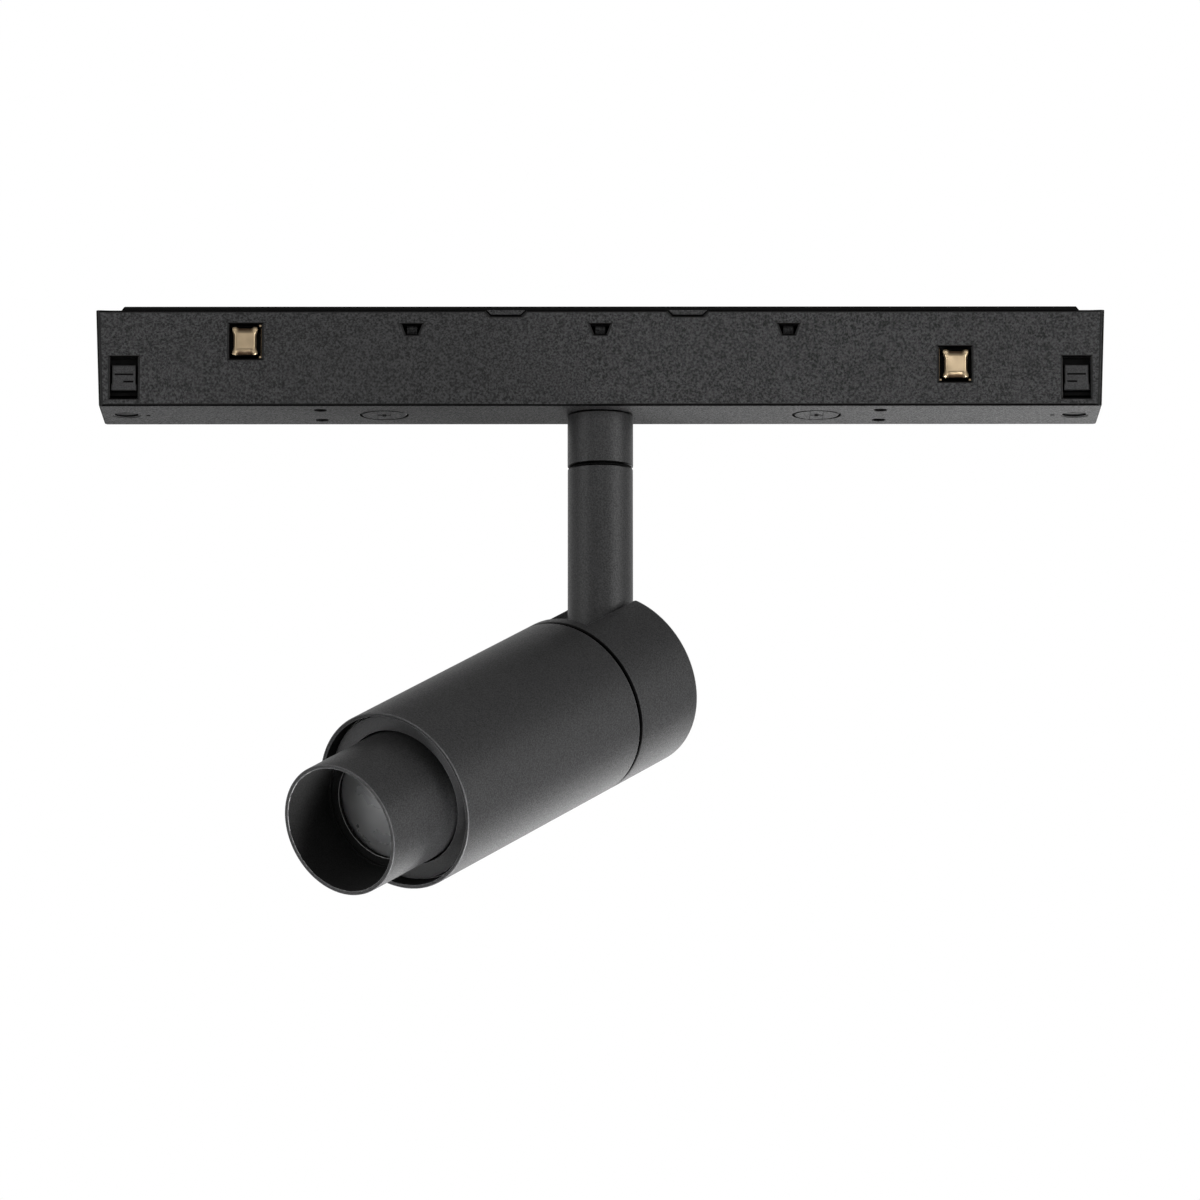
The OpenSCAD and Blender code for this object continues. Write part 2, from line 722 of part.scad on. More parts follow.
// Head core: carries the light source, joins shell and barrel and turns on the pivot screws
module yoke() {
    color("#303032") in_head() difference() {
        union() {
            translate([0, 0, disc_back]) cylinder(r = disc_r, h = disc_front - disc_back);
            translate([0, 0, shell_front]) cylinder(r = head_r - 0.75, h = seam_gap);
            for (s = [-1, 1]) translate([s * (cheek_in + cheek_out) / 2, 0, 0]) across(cheek_out - cheek_in) {
                circle(r = cheek_r);
                translate([-disc_back - 1, -cheek_r]) square([disc_back + 1, 2 * cheek_r]);
            }
        }
        rotate([0, 90, 0]) cylinder(r = pin_r + touch, h = 60, center = true);
        // slanted wire hole from the pivot to the foot of the light source
        translate([0, 0.4, disc_back - 1]) rotate([46, 0, 0]) cylinder(r = 2.5, h = 24);
        for (s = [-1, 1]) translate([s * led_screw_x, 0, disc_front - 4.6]) cylinder(r = led_hole_r, h = 6);
    }
}

module barrel() {
    inner = head_r - shell_t;
    rim_in = head_r - rim_t;
    color("#3c3c3e") in_head() rotate_extrude() polygon([
        [inner, barrel_back], [head_r - 0.25, barrel_back], [head_r, barrel_back + 0.25],
        [head_r, barrel_front - 0.3], [head_r - 0.3, barrel_front], [rim_in + 0.1, barrel_front],
        [rim_in, barrel_front - 0.1], [rim_in, bezel_back], [inner, bezel_back]]);
}

module led_board() {
    color("#e9e9ea") in_head() difference() {
        translate([0, 0, disc_front]) cylinder(r = 11, h = led_s - disc_front);
        for (s = [-1, 1]) translate([s * led_screw_x, 0, disc_front - 1]) cylinder(r = led_hole_r, h = 4);
        block(2, -9.8, -6.9, disc_front - 1, led_s + 1);
    }
}

module led_chip() {
    color("#f2d65a") in_head() {
        translate([0, 0, led_s]) cylinder(r = 4.6, h = 0.7);
        translate([0, 0, led_s + 0.7 - eps]) cylinder(r = 3.4, h = 0.3);
    }
}

module led_holder() {
    color("#efefe8") in_head() difference() {
        ring(10.6, 5.2, led_s, holder_s);
        for (s = [-1, 1]) translate([s * led_screw_x, 0, led_s - 1]) cylinder(r = led_hole_r, h = 4);
        block(2.1, -12, -4, led_s - 1, holder_s + 1);
    }
}

module led_screws() {
    color("silver") in_head() for (s = [-1, 1]) translate([s * led_screw_x, 0, 0]) difference() {
        union() {
            translate([0, 0, disc_front - 4.4])
                cylinder(r = led_hole_r - 0.05, h = holder_s - disc_front + 4.4 + eps);
            translate([0, 0, holder_s]) cylinder(r = 1.7, h = 1.2);
        }
        translate([0, 0, holder_s + 0.6]) cylinder(r = 0.8, h = 2, $fn = 6);
    }
}

module condenser_holder() {
    color("#232325") in_head() {
        ring(disc_r, 12, disc_front, disc_front + 2);
        ring(condenser_r + 1.3, condenser_r + 0.1, disc_front + 1, 38.5);
        ring(condenser_r + 0.6, condenser_r - 1.3, condenser_s - 1, condenser_s);
    }
}

// Lens with a flat back, a straight edge and a domed front
module dome_lens(r, back, edge, rise) {
    sphere_r = (r * r + rise * rise) / (2 * rise);
    intersection() {
        translate([0, 0, back]) cylinder(r = r, h = edge + rise + 1);
        translate([0, 0, back + edge + rise - sphere_r]) sphere(r = sphere_r, $fn = 96);
    }
}

module condenser() {
    color("#cfe3ea", 0.6) in_head() dome_lens(condenser_r, condenser_s, condenser_edge, condenser_rise);
}

module guide_sleeve() {
    bore = zoom_r + 0.09;
    color("#262628") in_head() rotate_extrude() polygon([
        [sleeve_in, sleeve_back], [disc_r, sleeve_back], [disc_r, bezel_back], [bore, bezel_back],
        [bore, groove_s[1]], [groove_r, groove_s[1]], [groove_r, groove_s[0]], [bore, groove_s[0]],
        [bore, sleeve_step], [sleeve_in, sleeve_step]]);
}

module friction_ring() {
    color("#1b1b1c") in_head() ring(groove_r - 0.05, zoom_r + 0.08, groove_s[0] + 0.05, groove_s[1] - 0.05);
}

module front_bezel() {
    color("#6a6a6d") in_head() rotate_extrude() polygon([
        [bezel_r[0], bezel_back], [bezel_r[1], bezel_back], [bezel_r[1], bezel_front - 0.25],
        [bezel_r[1] - 0.25, bezel_front], [bezel_r[0] + 0.2, bezel_front], [bezel_r[0], bezel_front - 0.2]]);
}

module head_leads() {
    route = [[0, 0.8], [0, 6.6], [-0.5, 8.6], [-1.8, 10.4], [-4.4, 13], [-6.8, 15.4], [-8.1, 17.2],
             [-8.2, 18.6], [-7.5, 19.4], [-5.6, 19.5]];
    color("#cc3b2f") in_head() for (x = [-lead_x, lead_x]) translate([x, 0, 0]) wire(route, 0.7);
}

// ---- zoom tube ----

module zoom_tube() {
    inner = zoom_r - zoom_t;
    color("#404042") in_head() rotate_extrude() polygon([
        [lens_bore, zoom_back], [zoom_r, zoom_back], [zoom_r, zoom_front - 0.2], [zoom_r - 0.2, zoom_front],
        [inner + 0.15, zoom_front], [inner, zoom_front - 0.15], [inner, filter_s], [lens_bore, filter_s],
        [lens_bore, lens_s], [lens_ledge_r, lens_s],
        [lens_ledge_r, lens_s - 1.5], [lens_bore, lens_s - 1.5]]);
}

module stop_ring() {
    color("#2c2c2e") in_head() ring(sleeve_in - 0.4, zoom_r, zoom_back, zoom_back + 2.8);
}

module zoom_lens() {
    color("#cfe3ea", 0.6) in_head() dome_lens(lens_r, lens_s, lens_edge, lens_rise);
}

module lens_ring() {
    color("#1c1c1d") in_head() rotate_extrude() polygon([
        [11.75, lens_ring_s], [lens_bore - 0.02, lens_ring_s],
        [lens_bore - 0.02, lens_ring_s + 1], [11.6, lens_ring_s + 1]]);
}

housing();
top_cover();
driver_board();
inductor();
capacitors();
board_chips();
lead_socket();
board_screws();
board_nuts();
supply_leads();
contact_carrier_left();
contact_carrier_right();
contact_spring_left();
contact_spring_right();
contact_left();
contact_right();
plug_left();
plug_right();
lock_guide_left();
lock_guide_right();
lock_shaft_left();
lock_shaft_right();
bolt_left_front();
bolt_left_back();
bolt_right_front();
bolt_right_back();
bolt_springs_left();
bolt_springs_right();
collar();
nipple();
nipple_nut();
pan_stop_pin();
thrust_washer();
retaining_nut();
stem_tube();
stem_bush();
stem_eye();
stem_leads();
pivot_screws();
friction_washers();
spring_washers();
rear_shell();
yoke();
barrel();
led_board();
led_chip();
led_holder();
led_screws();
condenser_holder();
condenser();
guide_sleeve();
friction_ring();
front_bezel();
head_leads();
zoom_tube();
stop_ring();
zoom_lens();
lens_ring();
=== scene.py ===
import json
import logging
import math
from abc import ABC, abstractmethod
from collections.abc import Callable, Iterable, Sequence
from dataclasses import dataclass, field
from enum import Enum

import bmesh
import bpy
from bmesh.types import BMEdge, BMesh, BMFace, BMVert
from mathutils import Matrix, Vector


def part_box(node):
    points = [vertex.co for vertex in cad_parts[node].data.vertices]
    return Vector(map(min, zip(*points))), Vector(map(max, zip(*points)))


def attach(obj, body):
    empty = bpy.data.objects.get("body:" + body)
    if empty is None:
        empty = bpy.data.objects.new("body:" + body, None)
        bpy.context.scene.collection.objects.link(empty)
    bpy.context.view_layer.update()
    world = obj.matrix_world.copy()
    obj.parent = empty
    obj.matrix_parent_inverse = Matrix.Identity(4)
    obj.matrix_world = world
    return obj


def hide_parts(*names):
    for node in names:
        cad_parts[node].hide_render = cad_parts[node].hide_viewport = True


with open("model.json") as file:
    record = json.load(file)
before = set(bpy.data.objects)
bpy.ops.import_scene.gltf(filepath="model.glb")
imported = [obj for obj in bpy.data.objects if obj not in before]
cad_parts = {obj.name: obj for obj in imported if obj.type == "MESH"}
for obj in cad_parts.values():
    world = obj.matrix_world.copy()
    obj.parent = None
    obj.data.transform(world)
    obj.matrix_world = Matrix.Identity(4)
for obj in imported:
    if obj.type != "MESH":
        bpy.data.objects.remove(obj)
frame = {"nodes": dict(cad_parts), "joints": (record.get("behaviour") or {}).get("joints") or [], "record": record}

# A track spotlight: a bar adapter with sprung contacts and turn locks, a stem that turns on a
# fixed collar, and a round head that tilts and holds a sliding zoom tube. Shapes are drawn in
# millimetres, in the adapter's, the stem's or the head's own frame, and placed from the CAD.

log = logging.getLogger("spotlight")
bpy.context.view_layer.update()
MM = 0.001
ROUND_STEPS = 128
SHARP_ANGLE = math.radians(30)
EDGE_LAYER = "edge"
# Marks that soften() leaves on rounded faces: the first gets a painted edge line from the finishes, the second
# gets painted shade, as if the edge lay in a gap.
EDGE_LINE = 1.0
PAINTED_SHADE = -1.0
NEAR = 0.01
X_AXIS, Y_AXIS, Z_AXIS = Vector((1, 0, 0)), Vector((0, 1, 0)), Vector((0, 0, 1))

Colour = tuple[float, float, float]
Outline = list[tuple[float, float]]
Cut = tuple[Vector, Vector]
EdgeTest = Callable[[BMEdge], bool]
PointTest = Callable[[Vector], bool]
Value = bpy.types.NodeSocket | float | tuple[float, ...]


class Way(Enum):
    """A way along an axis of the adapter: its name in the CAD and its sign."""

    @property
    def label(self) -> str:
        """The word that the CAD names use."""
        return self.value[0]

    @property
    def sign(self) -> int:
        """-1 towards the axis' low end, 1 towards its high end."""
        return self.value[1]


class Side(Way):
    """End of the adapter, along X."""

    LEFT = ("left", -1)
    RIGHT = ("right", 1)


class Facing(Way):
    """Long side of the adapter, along Y."""

    FRONT = ("front", -1)
    BACK = ("back", 1)


# ---- places ----


def joint(name: str) -> dict:
    """One joint of the frame.

    Args:
        name: The joint's name in the record.

    Returns:
        The joint's row, with its axis and its place in metres.
    """
    return next(row for row in frame["joints"] if row["name"] == name)


def adapter_place() -> Matrix:
    """Millimetres in the adapter's frame to metres in the object's frame."""
    return Matrix.Scale(MM, 4)


def stem_place() -> Matrix:
    """Millimetres in the stem's frame, X along the tilt pivot and Z up, to metres.

    Returns:
        The matrix.
    """
    across = Vector(joint("head_tilt")["axis"]).normalized()
    turn = Matrix((across, Z_AXIS.cross(across), Z_AXIS)).transposed().to_4x4()
    pivot = Vector(joint("head_tilt")["pos_m"])
    return Matrix.Translation((0, 0, pivot.z)) @ turn @ Matrix.Scale(MM, 4)


def head_place() -> Matrix:
    """Millimetres about the pivot, X along it and Z along the beam, to metres.

    Returns:
        The matrix.
    """
    across = Vector(joint("head_tilt")["axis"]).normalized()
    beam = Vector(joint("zoom_slide")["axis"]).normalized()
    turn = Matrix((across, beam.cross(across), beam)).transposed().to_4x4()
    return Matrix.Translation(joint("head_tilt")["pos_m"]) @ turn @ Matrix.Scale(MM, 4)


def box_mm(node: str) -> tuple[Vector, Vector]:
    """Lowest and highest corner of a CAD node in millimetres of the object's frame."""
    low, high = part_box(node)
    return low / MM, high / MM


def reach_mm(node: str, place: Matrix) -> tuple[Vector, Vector]:
    """Lowest and highest corner of a CAD node in the millimetres of a turned frame.

    Args:
        node: The CAD node's name.
        place: The matrix from that frame's millimetres to metres.

    Returns:
        The two corners.
    """
    back = place.inverted()
    points = [back @ vertex.co for vertex in frame["nodes"][node].data.vertices]
    low = Vector(min(p[i] for p in points) for i in range(3))
    high = Vector(max(p[i] for p in points) for i in range(3))
    return low, high


# ---- shaping ----


def arc(centre: tuple[float, float], radius: float, start: float, end: float, steps: int) -> Outline:
    """Points along an arc.

    Args:
        centre: Centre of the arc.
        radius: Radius of the arc.
        start: First angle in degrees.
        end: Last angle in degrees.
        steps: Number of stretches between the first and the last point.

    Returns:
        The points, both ends included.
    """
    angles = [math.radians(start + (end - start) * i / steps) for i in range(steps + 1)]
    return [(centre[0] + radius * math.cos(a), centre[1] + radius * math.sin(a)) for a in angles]


def ring_section(inner: float, outer: float, low: float, high: float) -> Outline:
    """The section of a plain ring, for turned()."""
    return [(inner, low), (outer, low), (outer, high), (inner, high)]


def turned(outline: Outline, steps: int = ROUND_STEPS) -> BMesh:
    """Turns a closed outline of (radius, height) points about Z.

    Args:
        outline: The section's points.
        steps: Number of facets around.

    Returns:
        The closed solid of revolution, with its normals outwards.
    """
    shape = bmesh.new()
    corners = [shape.verts.new((radius, 0, height)) for radius, height in outline]
    lines = [shape.edges.new(pair) for pair in zip(corners, corners[1:] + corners[:1])]
    bmesh.ops.spin(
        shape, geom=corners + lines, cent=(0, 0, 0), axis=(0, 0, 1), dvec=(0, 0, 0),
        angle=math.tau, steps=steps, use_merge=True, use_duplicate=False,
    )
    bmesh.ops.remove_doubles(shape, verts=shape.verts, dist=1e-5)
    loose = [edge for edge in shape.edges if not edge.link_faces]
    bmesh.ops.delete(shape, geom=loose, context="EDGES")
    bmesh.ops.recalc_face_normals(shape, faces=shape.faces)
    return shape


def slab(outline: Sequence[Vector], sweep: Vector) -> BMesh:
    """Sweeps a flat outline along a straight line into a solid.

    Args:
        outline: Corners of the outline, in order.
        sweep: How far and in which direction the outline goes.

    Returns:
        The closed solid, with its normals outwards.
    """
    shape = bmesh.new()
    face = shape.faces.new([shape.verts.new(corner) for corner in outline])
    made = bmesh.ops.extrude_face_region(shape, geom=[face])["geom"]
    bmesh.ops.translate(shape, verts=[g for g in made if isinstance(g, BMVert)], vec=sweep)
    bmesh.ops.recalc_face_normals(shape, faces=shape.faces)
    return shape


def block(low: Sequence[float], high: Sequence[float]) -> BMesh:
    """A box between two corners.

    Args:
        low: Its lowest corner.
        high: Its highest corner.

    Returns:
        The shape.
    """
    shape = bmesh.new()
    low, high = Vector(low), Vector(high)
    size = Matrix.Diagonal((*(high - low), 1))
    bmesh.ops.create_cube(shape, size=1, matrix=Matrix.Translation((low + high) / 2) @ size)
    return shape


def join(shapes: Iterable[BMesh]) -> BMesh:
    """Puts several shapes into one.

    Args:
        shapes: The shapes, which are used up.

    Returns:
        One shape that holds them all.
    """
    whole = bmesh.new()
    whole.faces.layers.float.new(EDGE_LAYER)
    for shape in shapes:
        holder = bpy.data.meshes.new("holder")
        shape.to_mesh(holder)
        shape.free()
        whole.from_mesh(holder)
        bpy.data.meshes.remove(holder)
    return whole


def flat_face(shape: BMesh, inside: Vector, normal: Vector) -> BMFace:
    """The flat face that holds a point.

    Args:
        shape: The shape to search.
        inside: A point on the face, away from its edges.
        normal: The direction that the face looks in, either way round.

    Returns:
        The face.
    """
    shape.normal_update()
    for face in shape.faces:
        square = abs(abs(face.normal.dot(normal)) - 1) < 1e-3
        if square and abs((face.verts[0].co - inside).dot(normal)) < 1e-3:
            if bmesh.geometry.intersect_face_point(face, inside):
                return face
    raise ValueError(f"no flat face at {inside}")


def carve(shape: BMesh, inside: Vector, normal: Vector, cuts: Sequence[Cut]) -> BMFace:
    """Cuts the flat face under a point along planes.

    Args:
        shape: The shape to cut.
        inside: A point of the part to keep hold of.
        normal: The direction that the face looks in.
        cuts: A point on each cutting plane, and the plane's normal.

    Returns:
        The part of the face that holds the point.
    """
    for point, direction in cuts:
        face = flat_face(shape, inside, normal)
        bmesh.ops.bisect_plane(
            shape, geom=[face, *face.edges, *face.verts], dist=1e-5, plane_co=point, plane_no=direction
        )
    return flat_face(shape, inside, normal)


def window_cuts(
    centre: Vector, across: Vector, half_across: float, along: Vector, half_along: float
) -> list[Cut]:
    """The four planes round a rectangle.

    Args:
        centre: Middle of the rectangle.
        across: Direction of its first side.
        half_across: Half its size in that direction.
        along: Direction of its other side.
        half_along: Half its size in that direction.

    Returns:
        A point and a normal for each plane.
    """
    sides = [(across, half_across), (along, half_along)]
    return [(centre + way * half * s, way) for way, half in sides for s in (-1, 1)]


def push(shape: BMesh, faces: Sequence[BMFace], offset: Vector) -> list[BMFace]:
    """Moves faces out or in and leaves walls behind them.

    Args:
        shape: The shape that holds the faces.
        faces: Neighbouring faces to move.
        offset: How far they go.

    Returns:
        The faces at their new place.
    """
    made = bmesh.ops.extrude_face_region(shape, geom=list(faces))["geom"]
    bmesh.ops.delete(shape, geom=list(faces), context="FACES_ONLY")
    bmesh.ops.translate(shape, verts=[g for g in made if isinstance(g, BMVert)], vec=offset)
    return [g for g in made if isinstance(g, BMFace)]


def pierce(shape: BMesh, near: BMFace, far: BMFace) -> None:
    """Joins two facing faces of a wall by an opening right through it.

    Args:
        shape: The shape that holds the wall.
        near: The face on one side.
        far: The face on the other side.
    """
    rims = [*near.edges, *far.edges]
    bmesh.ops.delete(shape, geom=[near, far], context="FACES_ONLY")
    bmesh.ops.bridge_loops(shape, edges=rims)


def cut_through(shape: BMesh, point: Sequence[float], normal: Vector) -> None:
    """Cuts every face of a shape along a plane.

    Args:
        shape: The shape to cut.
        point: A point on the plane.
        normal: The plane's normal.
    """
    whole = shape.verts[:] + shape.edges[:] + shape.faces[:]
    bmesh.ops.bisect_plane(shape, geom=whole, dist=1e-5, plane_co=point, plane_no=normal)


def border_edges(faces: Sequence[BMFace]) -> list[BMEdge]:
    """The edges round a group of faces, always in the same order.

    Args:
        faces: The faces.

    Returns:
        The edges that the group shares with other faces.
    """
    inside = set(faces)
    edges = dict.fromkeys(edge for face in faces for edge in face.edges)
    return [edge for edge in edges if any(other not in inside for other in edge.link_faces)]


def open_edge(shape: BMesh, faces: Sequence[BMFace], is_outer: PointTest) -> None:
    """Takes a notch out of a wall's free edge.

    Args:
        shape: The shape that holds the wall.
        faces: The notch's outer, rim and inner faces.
        is_outer: Whether a point lies on the outer side of the wall's middle.
    """
    chain = [
        edge for edge in border_edges(faces)
        if is_outer(edge.verts[0].co) == is_outer(edge.verts[1].co)
    ]
    bmesh.ops.delete(shape, geom=list(faces), context="FACES")
    bmesh.ops.bridge_loops(shape, edges=[edge for edge in chain if edge.is_valid])


def merge_flat(shape: BMesh, degrees: float) -> None:
    """Merges neighbouring faces that meet at less than an angle."""
    limit = math.radians(degrees)
    bmesh.ops.dissolve_limit(shape, angle_limit=limit, verts=shape.verts, edges=shape.edges)


def round_face(shape: BMesh, centre: Vector, normal: Vector, radius: float, steps: int = 48) -> BMFace:
    """Sets a round face into a flat one.

    Args:
        shape: The shape to change.
        centre: Centre of the round face, on the flat one.
        normal: The direction that the flat face looks in, along an axis.
        radius: Radius of the round face.
        steps: Number of its sides.

    Returns:
        The round face.
    """
    across = X_AXIS if abs(normal.x) < 0.5 else Y_AXIS
    along = normal.cross(across)
    half = radius * 1.12
    cell = carve(shape, centre, normal, window_cuts(centre, across, half, along, half))
    rim = list(cell.edges)
    bmesh.ops.delete(shape, geom=[cell], context="FACES_ONLY")
    turn = Matrix((across, along, normal)).transposed().to_4x4()
    ring = bmesh.ops.create_circle(
        shape, cap_ends=False, segments=steps, radius=radius, matrix=Matrix.Translation(centre) @ turn
    )["verts"]
    circle = dict.fromkeys(edge for vert in ring for edge in vert.link_edges)
    bmesh.ops.triangle_fill(shape, use_beauty=True, edges=[*rim, *circle], normal=normal)
    return shape.faces.new(ring)


def both_ends(test: PointTest) -> EdgeTest:
    """A test for the edges whose two ends pass a test for points."""
    return lambda edge: all(test(vert.co) for vert in edge.verts)


def soften(
    shape: BMesh, width: float, segments: int = 2, where: EdgeTest | None = None, mark: float = EDGE_LINE
) -> None:
    """Rounds sharp edges, and marks the faces that this makes for the finishes.

    Args:
        shape: The shape to change.
        width: Width of the rounding.
        segments: Number of facets across it.
        where: Which of the sharp edges to round; all of them if left out.
        mark: What the new faces get from the finishes: a painted edge line, or painted shade as if in a gap.
    """
    shape.normal_update()
    layer = shape.faces.layers.float.get(EDGE_LAYER) or shape.faces.layers.float.new(EDGE_LAYER)
    folds = [edge for edge in shape.edges if len(edge.link_faces) == 2]
    sharp = [edge for edge in folds if edge.calc_face_angle() > SHARP_ANGLE and (not where or where(edge))]
    made = bmesh.ops.bevel(
        shape, geom=sharp, offset=width, offset_type="OFFSET", affect="EDGES", segments=segments,
        profile=0.5, material=-1, clamp_overlap=False, loop_slide=True,
    )
    for face in made["faces"]:
        face[layer] = mark


def finish(
    shape: BMesh, name: str, body: str, nodes: Sequence[str], slot: str, finishes: "Finishes",
    place: Matrix, lining: PointTest | None = None, inside: str = "inner_black",
) -> bpy.types.Object:
    """Makes a shape a piece of the object.

    Args:
        shape: The shape in its own millimetres, which is used up.
        name: Name of the piece.
        body: The CAD body that it rides on.
        nodes: The CAD nodes that it stands for.
        slot: The record's material slot.
        finishes: Every finish.
        place: The matrix from the shape's millimetres to metres.
        lining: Whether a face with a given centre takes the inside's finish.
        inside: The slot whose finish the inside takes.

    Returns:
        The piece.
    """
    for face in shape.faces:
        face.smooth = True
        if lining and lining(face.calc_center_median()):
            face.material_index = 1
    bmesh.ops.transform(shape, matrix=place, verts=shape.verts)
    bmesh.ops.recalc_face_normals(shape, faces=shape.faces)
    mesh = bpy.data.meshes.new(name)
    shape.to_mesh(mesh)
    shape.free()
    mesh.set_sharp_from_angle(angle=SHARP_ANGLE)
    piece = bpy.data.objects.new(name, mesh)
    bpy.context.scene.collection.objects.link(piece)
    mesh.materials.append(finishes[slot])
    if lining:
        mesh.materials.append(finishes[inside])
    even = piece.modifiers.new("even_shading", "WEIGHTED_NORMAL")
    even.keep_sharp = True
    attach(piece, body)
    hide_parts(*nodes)
    log.info("%s: %d faces on %s", name, len(mesh.polygons), body)
    return piece


# ---- shared effects ----


class Graph:
    """A node tree with short ways to add and link nodes."""

    def __init__(self, tree: bpy.types.NodeTree) -> None:
        """Works on a tree, which it empties.

        Args:
            tree: The node tree.
        """
        self.tree = tree
        tree.nodes.clear()

    def add(self, kind: str, inputs: dict | None = None, **settings: object) -> bpy.types.Node:
        """Adds a node.

        Args:
            kind: The node's type.
            inputs: Values or sockets for its inputs, by name or number.
            settings: Values for its properties.

        Returns:
            The node.
        """
        node = self.tree.nodes.new(kind)
        for key, value in settings.items():
            setattr(node, key, value)
        for key, value in (inputs or {}).items():
            if isinstance(value, bpy.types.NodeSocket):
                self.tree.links.new(value, node.inputs[key])
            else:
                node.inputs[key].default_value = value
        return node

    def link(self, value: bpy.types.NodeSocket, shader: bpy.types.Node, title: str) -> None:
        """Feeds a socket of a node by its name."""
        self.tree.links.new(value, shader.inputs[title])

    def math(
        self, operation: str, first: Value, second: Value = 0.0, clamp: bool = False
    ) -> bpy.types.NodeSocket:
        """Adds a Math node on two values or sockets and returns its output."""
        node = self.add("ShaderNodeMath", {0: first, 1: second}, operation=operation, use_clamp=clamp)
        return node.outputs[0]

    def ramp(
        self, value: Value, low: float, high: float, to_low: float = 0.0, to_high: float = 1.0
    ) -> bpy.types.NodeSocket:
        """Adds a smooth Map Range node and returns its output."""
        node = self.add(
            "ShaderNodeMapRange", {0: value, 1: low, 2: high, 3: to_low, 4: to_high},
            interpolation_type="SMOOTHSTEP",
        )
        return node.outputs[0]

    def mix(self, share: Value, first: Value, second: Value) -> bpy.types.NodeSocket:
        """Adds a colour Mix node and returns its output."""
        node = self.add("ShaderNodeMix", {0: share, 6: first, 7: second}, data_type="RGBA")
        return node.outputs[2]

    def noise(self, vector: Value, size_mm: float, detail: float, rough: float = 0.5) -> Value:
        """Adds a noise whose features are about size_mm across and returns its value."""
        node = self.add(
            "ShaderNodeTexNoise",
            {"Vector": vector, "Scale": 1 / (size_mm * MM), "Detail": detail, "Roughness": rough},
        )
        return node.outputs[0]


def effect(
    name: str, inputs: dict[str, float], outputs: Sequence[str]
) -> tuple[Graph, dict[str, bpy.types.NodeSocket]]:
    """Starts a shader node group.

    Args:
        name: Name of the group.
        inputs: Names and usual values of its number inputs.
        outputs: Names of its number outputs.

    Returns:
        The group's graph, and its input sockets by name.
    """
    tree = bpy.data.node_groups.new(name, "ShaderNodeTree")
    for title, usual in inputs.items():
        socket = tree.interface.new_socket(title, in_out="INPUT", socket_type="NodeSocketFloat")
        socket.default_value = usual
    for title in outputs:
        tree.interface.new_socket(title, in_out="OUTPUT", socket_type="NodeSocketFloat")
    graph = Graph(tree)
    entry = graph.add("NodeGroupInput")
    return graph, {title: entry.outputs[title] for title in inputs}


def surface_grain() -> bpy.types.NodeTree:
    """Fine relief of a cast or sprayed surface.

    Returns:
        The group: Height is the relief, Speckle its light and dark points, Mottle a faint cloudiness.
    """
    outputs = ["Height", "Speckle", "Mottle"]
    graph, given = effect("surface_grain", {"Size": 0.5, "Cloud Size": 6.0}, outputs)
    place = graph.add("ShaderNodeTexCoord").outputs["Object"]
    scale = graph.math("DIVIDE", 1 / MM, given["Size"])
    fine = graph.add(
        "ShaderNodeTexNoise", {"Vector": place, "Scale": scale, "Detail": 3.0, "Roughness": 0.7}
    )
    pits = graph.add(
        "ShaderNodeTexVoronoi",
        {"Vector": place, "Scale": graph.math("MULTIPLY", scale, 0.8), "Smoothness": 0.6},
        feature="SMOOTH_F1",
    )
    relief = graph.math("MULTIPLY", pits.outputs[0], 0.5)
    height = graph.math("ADD", graph.math("MULTIPLY", fine.outputs[0], 0.6), relief)
    cloud_scale = graph.math("DIVIDE", 1 / MM, given["Cloud Size"])
    cloud = graph.add("ShaderNodeTexNoise", {"Vector": place, "Scale": cloud_scale, "Detail": 3.0})
    speckle = graph.ramp(fine.outputs[0], 0.33, 0.67)
    mottle = graph.ramp(cloud.outputs[0], 0.3, 0.7)
    graph.add("NodeGroupOutput", dict(zip(outputs, (height, speckle, mottle))))
    return graph.tree


def edge_lines_and_gap_shade() -> bpy.types.NodeTree:
    """A painted line along the rounded edges, whose colour each finish sets, and painted shade where an edge
    borders a gap.

    Returns:
        The group: Mask is 1 where an edge gets the painted line, the other output is 1 where it gets painted
            shade.
    """
    graph, given = effect("edge_lines_and_gap_shade", {"Amount": 0.5}, ["Mask", "Gap Shade"])
    place = graph.add("ShaderNodeTexCoord").outputs["Object"]
    edge = graph.add("ShaderNodeAttribute", attribute_name=EDGE_LAYER).outputs["Fac"]
    broken = graph.ramp(graph.noise(place, 1.2, 4.0), 0.3, 0.6, 0.7, 1.0)
    lined = graph.math("MULTIPLY", graph.math("MULTIPLY", edge, broken), given["Amount"], clamp=True)
    # Painted shade on the faces that are marked as lying in a gap.
    gap_shade = graph.math("MULTIPLY", edge, PAINTED_SHADE, clamp=True)
    graph.add("NodeGroupOutput", {"Mask": lined, "Gap Shade": gap_shade})
    return graph.tree


def settled_dust() -> bpy.types.NodeTree:
    """A faint film of dust on surfaces that look up.

    Returns:
        The group: Mask is how much dust lies there.
    """
    graph, given = effect("settled_dust", {"Amount": 0.1}, ["Mask"])
    geometry = graph.add("ShaderNodeNewGeometry")
    place = graph.add("ShaderNodeTexCoord").outputs["Object"]
    up = graph.add("ShaderNodeSeparateXYZ", {0: geometry.outputs["Normal"]}).outputs[2]
    film = graph.ramp(graph.noise(place, 4.0, 6.0, 0.65), 0.35, 0.8, 0.3, 1.0)
    level = graph.ramp(up, 0.2, 1.0)
    cover = graph.math("MULTIPLY", graph.math("MULTIPLY", level, film), given["Amount"])
    graph.add("NodeGroupOutput", {"Mask": cover})
    return graph.tree


